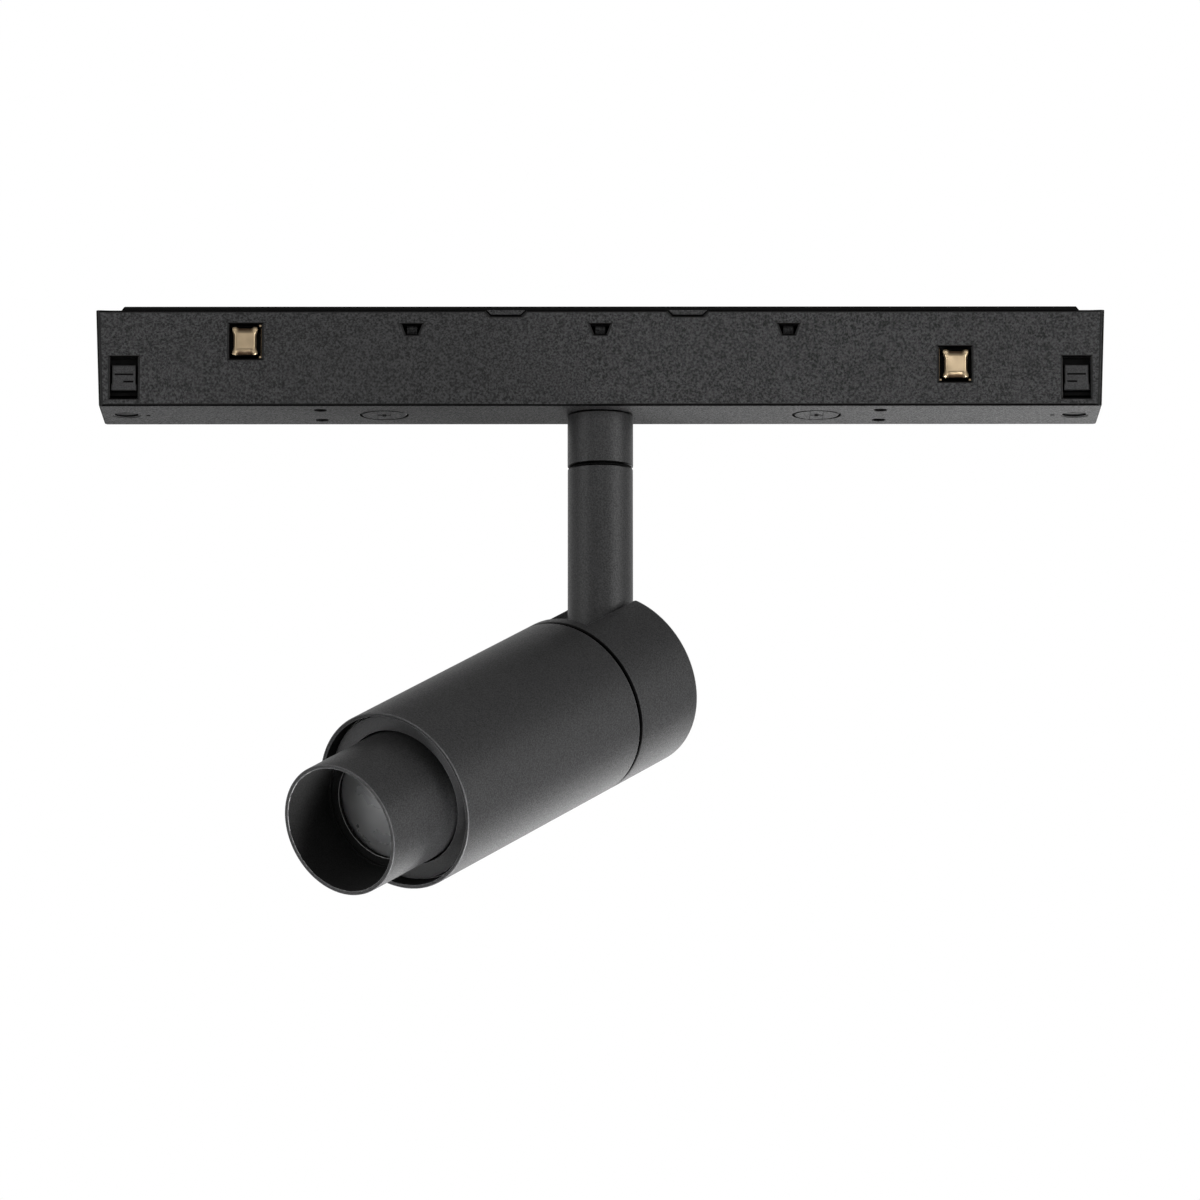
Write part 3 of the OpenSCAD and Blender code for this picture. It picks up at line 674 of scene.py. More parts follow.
class Effects:
    """The node groups that the finishes share, each built once."""

    def __init__(self) -> None:
        """Builds the groups."""
        self.grain = surface_grain()
        self.rub = edge_lines_and_gap_shade()
        self.dust = settled_dust()

    def place(self, graph: Graph, tree: bpy.types.NodeTree, inputs: dict) -> bpy.types.Node:
        """Puts a group into a material's graph.

        Args:
            graph: The material's graph.
            tree: The group.
            inputs: Values for its inputs.

        Returns:
            The group node.
        """
        return graph.add("ShaderNodeGroup", inputs, node_tree=tree)

    def grained(self, graph: Graph, size_mm: float, clouds: float) -> bpy.types.Node:
        """Puts the surface grain into a graph, with clouds that many times as large."""
        return self.place(graph, self.grain, {"Size": size_mm, "Cloud Size": size_mm * clouds})


# ---- finishes ----


def with_alpha(colour: Sequence[float], factor: float = 1.0) -> tuple[float, ...]:
    """A colour times a factor, with an alpha of 1."""
    return (*(min(1.0, part * factor) for part in colour), 1.0)


def relief(graph: Graph, shader: bpy.types.Node, height: bpy.types.NodeSocket, depth_mm: float) -> None:
    """Gives a shader a bump.

    Args:
        graph: The material's graph.
        shader: The shader node.
        height: The relief, from 0 to 1.
        depth_mm: How deep it is.
    """
    bump = graph.add("ShaderNodeBump", {"Height": height, "Distance": depth_mm * MM, "Strength": 1.0})
    graph.link(bump.outputs[0], shader, "Normal")


def new_material(name: str) -> tuple[bpy.types.Material, Graph, bpy.types.Node]:
    """Starts a material with a Principled shader.

    Args:
        name: Name of the material.

    Returns:
        The material, its graph and the shader node.
    """
    material = bpy.data.materials.new(name)
    material.use_nodes = True
    graph = Graph(material.node_tree)
    shader = graph.add("ShaderNodeBsdfPrincipled")
    graph.add("ShaderNodeOutputMaterial", {"Surface": shader.outputs[0]})
    return material, graph, shader


@dataclass(frozen=True)
class Finish(ABC):
    """The look of one material slot."""

    def build(self, name: str, effects: Effects) -> bpy.types.Material:
        """Makes the material.

        Args:
            name: Name of the material.
            effects: The shared node groups.

        Returns:
            The material.
        """
        material, graph, shader = new_material(name)
        self.paint(graph, shader, effects)
        return material

    @abstractmethod
    def paint(self, graph: Graph, shader: bpy.types.Node, effects: Effects) -> None:
        """Adds the nodes in front of the shader.

        Args:
            graph: The material's graph.
            shader: Its shader node.
            effects: The shared node groups.
        """


@dataclass(frozen=True)
class Coat(Finish):
    """A moulded plastic, paint or powder coat with a fine relief, a painted edge line and painted shade in gaps.
    """

    colour: Colour
    roughness: float = 0.5
    grain_mm: float = 0.4
    depth_mm: float = 0.02
    speckle: float = 0.3
    mottle: float = 0.1
    rub: float = 0.0
    dust: float = 0.0
    specular: float = 0.5
    # Colour of the painted edge line; this light grey is a painted highlight, partly standing for wear.
    edge_line_colour: Colour = (0.16, 0.16, 0.165)
    # Colour of the painted shade on edges that border a gap.
    gap_shade_colour: Colour = (0.0015, 0.0015, 0.0015)
    dust_colour: Colour = (0.3, 0.29, 0.275)

    cloud_shade: float = 1.6
    cloud_size: float = 14.0
    rough_spread: float = 0.05
    edge_line_polish: float = 0.12

    def paint(self, graph: Graph, shader: bpy.types.Node, effects: Effects) -> None:
        """Adds the nodes in front of the shader."""
        grain = effects.grained(graph, self.grain_mm, self.cloud_size)
        rub = effects.place(graph, effects.rub, {"Amount": self.rub})
        dust = effects.place(graph, effects.dust, {"Amount": self.dust})
        dark, light = (with_alpha(self.colour, 1 + way * self.speckle) for way in (-1, 1))
        points = graph.mix(grain.outputs["Speckle"], dark, light)
        clouds = graph.math("MULTIPLY", grain.outputs["Mottle"], self.mottle)
        colour = graph.mix(clouds, points, with_alpha(self.colour, self.cloud_shade))
        # The painted edge line, then the painted shade in the gaps.
        colour = graph.mix(rub.outputs["Mask"], colour, with_alpha(self.edge_line_colour))
        colour = graph.mix(rub.outputs["Gap Shade"], colour, with_alpha(self.gap_shade_colour))
        colour = graph.mix(dust.outputs["Mask"], colour, with_alpha(self.dust_colour))
        low, high = self.roughness - self.rough_spread, self.roughness + self.rough_spread
        rough = graph.ramp(grain.outputs["Speckle"], 0, 1, high, low)
        rough = graph.math("SUBTRACT", rough, graph.math("MULTIPLY", rub.outputs["Mask"], self.edge_line_polish))
        relief(graph, shader, grain.outputs["Height"], self.depth_mm)
        graph.link(colour, shader, "Base Color")
        graph.link(rough, shader, "Roughness")
        # The painted shade in the gaps is also made metallic, which keeps it dark.
        graph.link(rub.outputs["Gap Shade"], shader, "Metallic")
        shader.inputs["Specular IOR Level"].default_value = self.specular


@dataclass(frozen=True)
class Metal(Finish):
    """A bare or plated metal with fine tool marks."""

    colour: Colour
    roughness: float = 0.3
    marks_mm: float = 0.15
    depth_mm: float = 0.003
    dark: float = 0.75
    # Dark brown painted shade for the marked faces: the contact cup's end dishes and rounded edges.
    cup_shade_colour: Colour = (0.07, 0.045, 0.028)
    cup_shade_amount: float = 1.3
    cup_shade_rough: float = 0.5
    cloud_size: float = 20.0
    rough_spread: tuple[float, float] = (0.06, 0.04)

    def paint(self, graph: Graph, shader: bpy.types.Node, effects: Effects) -> None:
        """Adds the nodes in front of the shader."""
        grain = effects.grained(graph, self.marks_mm, self.cloud_size)
        # Painted shade: the marked faces are darkened brown and made rougher.
        cup_shade = effects.place(graph, effects.rub, {"Amount": self.cup_shade_amount}).outputs["Mask"]
        mottle = grain.outputs["Mottle"]
        colour = graph.mix(mottle, with_alpha(self.colour, self.dark), with_alpha(self.colour))
        colour = graph.mix(cup_shade, colour, with_alpha(self.cup_shade_colour))
        more, less = self.rough_spread
        rough = graph.ramp(mottle, 0, 1, self.roughness + more, self.roughness - less)
        rough = graph.math("ADD", rough, graph.math("MULTIPLY", cup_shade, self.cup_shade_rough), clamp=True)
        relief(graph, shader, grain.outputs["Height"], self.depth_mm)
        graph.link(colour, shader, "Base Color")
        graph.link(rough, shader, "Roughness")
        shader.inputs["Metallic"].default_value = 1.0


@dataclass(frozen=True)
class Glass(Finish):
    """Clear moulded glass with a faint haze."""

    tint: Colour
    roughness: float = 0.05
    clearness: float = 1.0
    ripple_mm: float = 3.0
    cloud_size: float = 2.0
    tint_spread: float = 0.03
    rough_spread: float = 0.2
    index: float = 1.49

    def paint(self, graph: Graph, shader: bpy.types.Node, effects: Effects) -> None:
        """Adds the nodes in front of the shader."""
        mottle = effects.grained(graph, self.ripple_mm, self.cloud_size).outputs["Mottle"]
        colour = graph.mix(mottle, with_alpha(self.tint), with_alpha(self.tint, 1 + self.tint_spread))
        low, high = (self.roughness * (1 + way * self.rough_spread) for way in (-1, 1))
        graph.link(colour, shader, "Base Color")
        graph.link(graph.ramp(mottle, 0, 1, low, high), shader, "Roughness")
        shader.inputs["Transmission Weight"].default_value = self.clearness
        shader.inputs["IOR"].default_value = self.index


@dataclass(frozen=True)
class Board(Finish):
    """Circuit board: solder mask over copper tracks."""

    mask: Colour
    track: Colour
    pitch_mm: float = 2.2
    track_width: float = 0.06
    track_mm: float = 0.03
    dark: float = 0.85
    cloud_dark: float = 0.8
    grain: tuple[float, float] = (0.3, 8.0)
    roughness: float = 0.3

    def paint(self, graph: Graph, shader: bpy.types.Node, effects: Effects) -> None:
        """Adds the nodes in front of the shader."""
        size, cloud = self.grain
        grain = effects.place(graph, effects.grain, {"Size": size, "Cloud Size": cloud})
        tracks = graph.add("ShaderNodeTexBrick", {
            "Vector": graph.add("ShaderNodeTexCoord").outputs["Object"],
            "Scale": 1 / (self.pitch_mm * MM),
            "Mortar Size": self.track_width,
            "Color1": with_alpha(self.mask),
            "Color2": with_alpha(self.mask, self.dark),
            "Mortar": with_alpha(self.track),
        })
        white = (1.0, 1.0, 1.0)
        clouds = graph.mix(grain.outputs["Mottle"], with_alpha(white, self.cloud_dark), with_alpha(white))
        colour = graph.add(
            "ShaderNodeMix", {0: 1.0, 6: tracks.outputs[0], 7: clouds},
            data_type="RGBA", blend_type="MULTIPLY",
        )
        relief(graph, shader, tracks.outputs[1], self.track_mm)
        graph.link(colour.outputs[2], shader, "Base Color")
        shader.inputs["Roughness"].default_value = self.roughness


class Finishes:
    """Every finish of the spotlight, by the record's slot names."""

    PALETTE = {
        # Its edge line is near black: a painted dark outline along the body's rounded edges, outline strips and
        # hole rims, painted shade.
        "adapter_body": Coat(
            (0.024, 0.024, 0.0245), 0.55, 0.45, 0.14, speckle=0.95, rub=1.4, dust=0.04, specular=0.2,
            edge_line_colour=(0.003, 0.003, 0.003),
        ),
        # Near black, darker than the body, so that the cover's front edge shows as the dark line along the top:
        # painted shade.
        "adapter_cover": Coat((0.003, 0.003, 0.003), 0.7, 0.4, 0.05, dust=0.02, specular=0.06),
        # Its edge line is near black: a painted dark outline round the bolts' fronts, painted shade.
        "bolt_plastic": Coat(
            (0.024, 0.024, 0.0245), 0.5, 0.3, 0.02, speckle=0.4, rub=0.9, specular=0.22,
            edge_line_colour=(0.004, 0.004, 0.004),
        ),
        "lock_metal": Coat((0.02, 0.02, 0.0205), 0.45, 0.3, 0.01, speckle=0.2, rub=0.3, specular=0.3),
        # Also lines the housing's inside, the contacts' walls and flanges, the lock heads' dishes, the bolts'
        # sides and the head's seam ring: painted shade.
        "inner_plastic": Coat((0.0025, 0.0025, 0.0025), 0.7, 0.5, 0.02, specular=0.06),
        "black_coat": Coat(
            (0.018, 0.018, 0.0185), 0.46, 0.32, 0.045, speckle=0.65, rub=0.4, dust=0.03, specular=0.25
        ),
        "bezel_coat": Coat((0.034, 0.034, 0.035), 0.42, 0.26, 0.02, speckle=0.3, rub=0.35, specular=0.3),
        # Lines the barrel's mouth and the zoom tube's bore, partly a matte black lining and partly painted shade.
        # Its light grey edge line is a painted highlight on the retainer's inner lip.
        "inner_black": Coat(
            (0.012, 0.012, 0.012), 0.9, 0.3, 0.02, rub=0.8, specular=0.12, edge_line_colour=(0.5, 0.5, 0.5)
        ),
        "seal_rubber": Coat((0.008, 0.008, 0.008), 0.7, 0.3, 0.01, specular=0.3),
        "white_plastic": Coat((0.72, 0.7, 0.64), 0.4, 0.4, 0.01, speckle=0.04, mottle=0.03),
        "bearing_nylon": Coat((0.62, 0.58, 0.46), 0.4, 0.4, 0.01, speckle=0.06, mottle=0.05),
        "lead_sleeve": Coat((0.42, 0.02, 0.015), 0.4, 0.5, 0.01, speckle=0.1),
        "capacitor_sleeve": Coat((0.015, 0.018, 0.03), 0.3, 0.5, 0.01, speckle=0.1),
        "chip_black": Coat((0.01, 0.01, 0.01), 0.6, 0.2, 0.01),
        "ferrite": Coat((0.045, 0.045, 0.043), 0.6, 0.5, 0.03),
        "phosphor": Coat((0.75, 0.55, 0.06), 0.6, 0.2, 0.005, speckle=0.05),
        "contact_gold": Metal((0.4, 0.31, 0.2), 0.3, 0.5, 0.02, dark=0.5),
        "bright_steel": Metal((0.6, 0.6, 0.61), 0.3),
        "spring_steel": Metal((0.5, 0.49, 0.46), 0.3),
        "bare_aluminium": Metal((0.62, 0.62, 0.64), 0.4),
        "lens_glass": Glass((0.41, 0.415, 0.42), 0.33, 0.5),
        "circuit_board": Board((0.01, 0.09, 0.03), (0.03, 0.18, 0.06)),
        "white_board": Board((0.8, 0.8, 0.8), (0.6, 0.6, 0.6), 5.0),
    }

    def __init__(self) -> None:
        """Builds the shared effects and every material."""
        effects = Effects()
        self.made = {slot: coat.build(slot, effects) for slot, coat in self.PALETTE.items()}

    def __getitem__(self, slot: str) -> bpy.types.Material:
        """The material of a slot."""
        return self.made[slot]

    def dress_cad(self) -> None:
        """Gives every CAD node that still shows its finish."""
        slots = {part["node"]: part["material_slot"] for part in frame["record"]["subparts"]}
        for name, node in frame["nodes"].items():
            node.data.materials.clear()
            node.data.materials.append(self[slots[name]])
        log.info("%d CAD nodes dressed", len(frame["nodes"]))


# ---- sub-assemblies ----


class Assembly(ABC):
    """A group of pieces that is made together."""

    @abstractmethod
    def build(self, finishes: Finishes) -> None:
        """Makes the pieces.

        Args:
            finishes: Every finish.
        """


# ---- adapter ----


@dataclass
class Adapter(Assembly):
    """Bar that locks into the track: body, cover, screw plugs and the fixed collar."""

    wall: float = 1.6
    end_draft: float = 0.8
    corner: float = 0.8
    roof: float = 2.2
    mouth_gap: float = 2.5
    end_wall: float = 2.05
    window_half: tuple[float, float] = (3.6, 3.8)
    lock_window: tuple[float, float] = (6.1, 9.05)
    lock_window_rise: float = 1.65
    lock_hole: float = 3.08
    plug_hole: float = 5.5
    notch_x: tuple[float, ...] = (-41.9, 0.0, 41.9)
    notch_half: tuple[float, float] = (2.1, 1.35)
    notch_z: tuple[float, float] = (-3.4, -5.4)
    recess_x: tuple[float, ...] = (-21.0, 19.5)
    recess_half: tuple[float, float] = (4.6, 3.5)
    recess_depth: float = 1.2
    tab_gap: float = 0.2
    tab_slack: float = 1.5
    screw_hole: float = 1.5
    screw_head: float = 1.4
    screw_depth: float = 5.0
    boss: float = 2.6
    boss_steps: int = 32
    pilot: float = 0.85
    dot: float = 0.5
    dot_gap: float = 4.9
    dot_depth: float = 0.3
    dot_steps: int = 24
    bolt_below_guide: float = 9.1
    centre_hole: float = 5.1
    edge: float = 0.36
    outline: float = 0.22
    hole_edge: float = 0.14
    skin: float = 0.5
    square: float = 0.999
    corner_turn: tuple[float, float] = (0.1, 0.45)
    cover_slope: float = 0.7
    cover_edge: float = 0.12
    rib_y: tuple[float, float] = (8.2, 9.2)
    rib_half: float = 95.0
    rib_height: float = 2.3
    hook_half: float = 1.1
    hook_section: Sequence[tuple[float, float]] = (
        (8.2, 0.0), (9.2, 0.0), (9.2, 3.8), (9.9, 3.9), (9.2, 5.2), (8.2, 5.3)
    )
    plug_r: float = 5.3
    plug_lip: tuple[float, float] = (6.2, 0.8)
    plug_skirt: tuple[float, float] = (4.2, 2.4)
    plug_steps: int = 64
    plug_chamfer: float = 0.5
    mark: tuple[float, float] = (1.5, 0.42)
    mark_depth: float = 0.5
    collar_bore: float = 5.02
    collar_edge: float = 0.42
    collar_inside: float = 6.0

    def __post_init__(self) -> None:
        """Reads the body's extent from the frame."""
        self.low, self.high = box_mm("housing")
        self.mouth = box_mm("top_cover")[1].x - self.mouth_gap
        self.side_in = self.high.y - self.wall
        self.floor = self.low.z + self.wall

    def centre(self, node: str) -> Vector:
        """Middle of a CAD node's box."""
        low, high = box_mm(node)
        return (low + high) / 2

    def hollow_body(self) -> BMesh:
        """The body's block with drawn-in ends, rounded uprights and its hollow.

        Returns:
            The shape, without its windows and holes.
        """
        shape = block(self.low, self.high)
        length = self.high.x - self.low.x
        bottom = [vert for vert in shape.verts if vert.co.z < self.floor]
        bmesh.ops.scale(shape, verts=bottom, vec=((length - 2 * self.end_draft) / length, 1, 1))
        uprights = [edge for edge in shape.edges if abs(edge.verts[0].co.z - edge.verts[1].co.z) > 1]
        bmesh.ops.bevel(
            shape, geom=uprights, offset=self.corner, affect="EDGES", segments=6, profile=0.5,
            material=-1, clamp_overlap=True,
        )
        top = Vector((0, 0, self.high.z))
        mouth = carve(shape, top, Z_AXIS, window_cuts(top, X_AXIS, self.mouth, Y_AXIS, self.side_in))
        lip = push(shape, [mouth], Vector((0, 0, -self.roof)))
        push(shape, lip, Vector((0, 0, self.floor - self.high.z + self.roof)))
        reach = self.high.x - self.end_wall - self.mouth
        mid = (self.high.z - self.roof + self.floor) / 2
        for side in Side:
            end = flat_face(shape, Vector((side.sign * self.mouth, 0, mid)), X_AXIS)
            push(shape, [end], Vector((side.sign * reach, 0, 0)))
        bmesh.ops.dissolve_limit(
            shape, angle_limit=math.radians(0.5), verts=shape.verts, edges=shape.edges, delimit=set()
        )
        return shape

    def pierce_wall(self, shape: BMesh, facing: Facing, at: Vector, cuts: Sequence[Cut]) -> None:
        """Opens a side wall between cutting planes.

        Args:
            shape: The body.
            facing: Which side wall.
            at: A point in the opening; its Y is ignored.
            cuts: The planes round the opening.
        """
        outer = carve(shape, Vector((at.x, facing.sign * self.high.y, at.z)), Y_AXIS, cuts)
        inner = carve(shape, Vector((at.x, facing.sign * self.side_in, at.z)), Y_AXIS, cuts)
        pierce(shape, outer, inner)

    def wedge_cuts(
        self, x: float, halves: tuple[float, float], z_top: float, z_bottom: float
    ) -> list[Cut]:
        """The planes of a notch that narrows downwards.

        Args:
            x: Middle of the notch.
            halves: Its half width at the top and at the bottom.
            z_top: Height of its top.
            z_bottom: Height of its bottom.

        Returns:
            A point and a normal for each slanted side, then for the bottom and the top.
        """
        cuts = []
        for s in (-1, 1):
            slope = Vector((s * (halves[1] - halves[0]), 0, z_bottom - z_top))
            cuts.append((Vector((x + s * halves[0], 0, z_top)), slope.cross(Y_AXIS).normalized()))
        cuts.append((Vector((x, 0, z_bottom)), Z_AXIS))
        cuts.append((Vector((x, 0, z_top)), Z_AXIS))
        return cuts

    def cut_recess(self, shape: BMesh, facing: Facing, x: float) -> None:
        """Takes a shallow lifting recess out of a wall's top edge.

        Args:
            shape: The body.
            facing: Which side wall.
            x: Middle of the recess.
        """
        top = self.high.z
        cuts = self.wedge_cuts(x, self.recess_half, top, top - self.recess_depth)[:3]
        middle = top - self.recess_depth / 2
        wall_mid = facing.sign * (self.high.y + self.side_in) / 2
        outer = carve(shape, Vector((x, facing.sign * self.high.y, middle)), Y_AXIS, cuts)
        rim_cuts = [(Vector((x + s * self.recess_half[0], 0, 0)), X_AXIS) for s in (-1, 1)]
        rim = carve(shape, Vector((x, wall_mid, top)), Z_AXIS, rim_cuts)
        inner = carve(shape, Vector((x, facing.sign * self.side_in, middle)), Y_AXIS, cuts)
        outer = flat_face(shape, Vector((x, facing.sign * self.high.y, middle)), Y_AXIS)
        open_edge(shape, [outer, rim, inner], lambda p: abs(p.y) > abs(wall_mid))

    def drill(self, shape: BMesh, x: float, y: float, radius: float) -> None:
        """Opens a round hole through the floor."""
        outer = round_face(shape, Vector((x, y, self.low.z)), Z_AXIS, radius)
        inner = round_face(shape, Vector((x, y, self.floor)), Z_AXIS, radius)
        pierce(shape, outer, inner)

    def screw_boss(self, shape: BMesh, x: float, y: float) -> None:
        """Makes a hollow boss on the floor, with a counterbore from below.

        Args:
            shape: The body.
            x: Place of the boss along the body.
            y: Its place across the body.
        """
        rise = box_mm("driver_board")[0].z - self.floor
        rows = [(self.floor, self.boss, rise), (self.low.z, self.screw_hole, self.screw_depth)]
        rounds = [
            round_face(shape, Vector((x, y, z)), Z_AXIS, radius, self.boss_steps)
            for z, radius, _ in rows
        ]
        ends = [push(shape, [end], Vector((0, 0, depth))) for end, (_, _, depth) in zip(rounds, rows)]
        for end, (_, radius, _) in zip(ends, rows):
            bmesh.ops.inset_region(shape, faces=end, thickness=radius - self.pilot, use_even_offset=True)
        pierce(shape, ends[0][0], ends[1][0])

    def open_end(self, shape: BMesh, side: Side) -> None:
        """Makes the windows and holes of one end, and the dot beside its lock.

        Args:
            shape: The body.
            side: Which end.
        """
        contact = self.centre(f"contact_{side.label}")
        contact.y = 0
        cuts = window_cuts(contact, X_AXIS, self.window_half[0], Z_AXIS, self.window_half[1])
        self.pierce_wall(shape, Facing.FRONT, contact, cuts)
        lock = self.centre(f"lock_shaft_{side.label}")
        bolt_top = box_mm(f"lock_guide_{side.label}")[1].z - self.bolt_below_guide
        lock.z = bolt_top + self.lock_window_rise - self.lock_window[1] / 2
        cuts = window_cuts(lock, X_AXIS, self.lock_window[0] / 2, Z_AXIS, self.lock_window[1] / 2)
        for facing in Facing:
            self.pierce_wall(shape, facing, lock, cuts)
        self.drill(shape, lock.x, 0, self.lock_hole)
        self.drill(shape, self.centre(f"plug_{side.label}").x, 0, self.plug_hole)
        at = Vector((lock.x - side.sign * self.dot_gap, 0, self.low.z))
        dot = round_face(shape, at, Z_AXIS, self.dot, self.dot_steps)
        push(shape, [dot], Vector((0, 0, self.dot_depth)))

    def body(self) -> BMesh:
        """The adapter's body with all its windows, notches and holes.

        Returns:
            The shape.
        """
        shape = self.hollow_body()
        for side in Side:
            self.open_end(shape, side)
        top = self.high.z
        for facing in Facing:
            for x in self.notch_x:
                cuts = self.wedge_cuts(x, self.notch_half, top + self.notch_z[0], top + self.notch_z[1])
                self.pierce_wall(shape, facing, Vector((x, 0, top + sum(self.notch_z) / 2)), cuts)
            for x in self.recess_x:
                self.cut_recess(shape, facing, x)
        screws = box_mm("board_screws")[1]
        screw_x, screw_y = screws.x - self.screw_head, screws.y - self.screw_head
        for x in (-screw_x, screw_x):
            for y in (-screw_y, screw_y):
                self.screw_boss(shape, x, y)
        self.drill(shape, 0, 0, self.centre_hole)
        outside, underside = self.high.y - NEAR, self.low.z + NEAR

        def in_floor(point: Vector) -> bool:
            """Whether a point lies on the underside, between the side walls."""
            return point.z < underside and abs(point.y) < self.side_in

        def shows(edge: BMEdge) -> bool:
            """Whether an edge lies on the body's outer skin, away from the holes in its floor."""
            ends = [vert.co for vert in edge.verts]
            on_skin = all(abs(end.y) > outside or end.z < underside for end in ends)
            return on_skin and not any(in_floor(end) for end in ends)

        # Rims of the floor's holes: the body's near-black edge line paints a dark outline, painted shade.
        soften(shape, self.hole_edge, where=both_ends(in_floor))
        # Rounded edges of the outer skin: painted shade.
        soften(shape, self.edge, where=shows, mark=PAINTED_SHADE)
        self.outline_walls(shape)
        return shape

    def outline_walls(self, shape: BMesh) -> None:
        """Marks a strip along every edge of the two side walls, and the rounded ends, for painted shade: a painted
        dark outline, darkest where the ends turn steeply.

        Args:
            shape: The body, with its edges softened.
        """
        layer = shape.faces.layers.float[EDGE_LAYER]
        slight, steep = self.corner_turn
        walls = []
        for face in shape.faces:
            reach = abs(face.calc_center_median().y)
            across, along = abs(face.normal.y), abs(face.normal.x)
            if reach > self.high.y - NEAR and across > self.square:
                walls.append(face)
            elif reach > self.side_in and min(across, along) > slight:
                face[layer] = PAINTED_SHADE if min(across, along) > steep else EDGE_LINE
        strip = bmesh.ops.inset_region(
            shape, faces=walls, thickness=self.outline, use_boundary=True, use_even_offset=False
        )
        for face in strip["faces"]:
            face[layer] = EDGE_LINE

    def cover(self) -> BMesh:
        """The cover plate with its long ribs, its tabs and six snap hooks.

        Returns:
            The shape.
        """
        low, high = box_mm("top_cover")
        thick = -self.high.z
        plate = block((low.x, low.y, -thick), (high.x, high.y, 0))
        top = [vert for vert in plate.verts if vert.co.z > -thick / 2]
        bmesh.ops.scale(plate, verts=top, vec=(1 - self.cover_slope / high.x, 1, 1))
        soften(plate, self.cover_edge)
        shapes = [plate]
        foot = -thick - self.rib_height
        for s in (-1, 1):
            near, far = sorted(s * y for y in self.rib_y)
            shapes.append(block((-self.rib_half, near, foot), (self.rib_half, far, -thick)))
            shapes += [self.hook(x, s) for x in self.notch_x]
            shapes += [self.tab(x, s) for x in self.recess_x]
        return join(shapes)

    def tab(self, x: float, s: int) -> BMesh:
        """One tab of the cover, which fills a lifting recess but for a thin gap.

        Args:
            x: Middle of the recess.
            s: Which side wall, -1 or 1.

        Returns:
            The shape.
        """
        top = self.high.z
        foot = top - self.recess_depth + self.tab_gap
        wide, narrow = (half - self.tab_slack * self.tab_gap for half in self.recess_half)
        corners = [(x - wide, top), (x + wide, top), (x + narrow, foot), (x - narrow, foot)]
        depth = self.high.y - self.tab_gap - self.side_in
        return slab([Vector((at, s * self.side_in, z)) for at, z in corners], Vector((0, s * depth, 0)))

    def hook(self, x: float, s: int) -> BMesh:
        """One snap hook, with its barb towards a side wall.

        Args:
            x: Middle of the hook.
            s: Which side wall, -1 or 1.

        Returns:
            The shape.
        """
        start = x - self.hook_half
        corners = [Vector((start, s * y, self.high.z - drop)) for y, drop in self.hook_section]
        return slab(corners, Vector((2 * self.hook_half, 0, 0)))

    def plug(self, side: Side) -> BMesh:
        """A push-in plug that hides a screw hole.

        Args:
            side: Which end of the adapter.

        Returns:
            The shape.
        """
        x = self.centre(f"plug_{side.label}").x
        foot, top = self.low.z, self.floor
        lip_r, lip = self.plug_lip
        skirt_r, skirt = self.plug_skirt
        section = [
            (0, foot), (self.plug_r, foot), (self.plug_r, top), (lip_r, top), (lip_r, top + lip),
            (self.plug_r, top + lip), (self.plug_r, top + skirt), (skirt_r, top + skirt), (skirt_r, top),
            (0, top),
        ]
        shape = turned(section, self.plug_steps)
        merge_flat(shape, 1)
        reach, half = self.mark
        arms = [(0, reach, half)] + [(s * (reach + half) / 2, half, (reach - half) / 2) for s in (-1, 1)]
        cross = []
        for y, half_x, half_y in arms:
            at = Vector((0, y, foot))
            cross.append(carve(shape, at, Z_AXIS, window_cuts(at, X_AXIS, half_x, Y_AXIS, half_y)))
        push(shape, cross, Vector((0, 0, self.mark_depth)))
        rim = self.plug_r - 0.1
        outline = both_ends(lambda point: point.z < foot + NEAR and point.xy.length > rim)
        # The plug's outer rim: a painted dark ring, painted shade.
        soften(shape, self.plug_chamfer, 1, outline, PAINTED_SHADE)
        bmesh.ops.translate(shape, verts=shape.verts, vec=(x, 0, 0))
        return shape

    def collar(self) -> BMesh:
        """The fixed round collar that the stem turns under.

        Returns:
            The shape.
        """
        low, high = box_mm("collar")
        bore = self.collar_bore
        shape = turned([(bore, high.z), (high.x, high.z), (high.x, low.z), (bore, low.z)])
        outside = both_ends(lambda point: math.hypot(*point.xy) > self.collar_inside)
        # The outer edges: painted shade where the collar meets the stem and the body.
        soften(shape, self.collar_edge, 3, outside, PAINTED_SHADE)
        return shape

    def build(self, finishes: Finishes) -> None:
        """Makes the adapter's pieces."""
        place = adapter_place()
        outside = self.high - Vector((self.end_draft + self.skin, self.skin, self.skin))

        def hollow(centre: Vector) -> bool:
            """Whether a point of the body lies under its outer skin."""
            within = abs(centre.x) < outside.x and abs(centre.y) < outside.y
            return within and self.low.z + self.skin < centre.z < outside.z

        # Faces under the skin take the near-black inner_plastic finish: painted shade in the hollow.
        finish(
            self.body(), "adapter_housing", "adapter", ["housing"], "adapter_body",
            finishes, place, hollow, "inner_plastic",
        )
        finish(
            self.cover(), "adapter_cover_plate", "adapter", ["top_cover"], "adapter_cover",
            finishes, place, lambda centre: centre.z < self.high.z - NEAR, "adapter_body",
        )
        finish(self.collar(), "fixed_collar", "adapter", ["collar"], "black_coat", finishes, place)
        for side in Side:
            node = f"plug_{side.label}"
            finish(self.plug(side), f"screw_{node}", "adapter", [node], "adapter_body", finishes, place)


def smooth_step(low: float, high: float, value: float) -> float:
    """0 below low, 1 above high, and smooth in between."""
    share = max(0.0, min(1.0, (value - low) / (high - low)))
    return share * share * (3 - 2 * share)


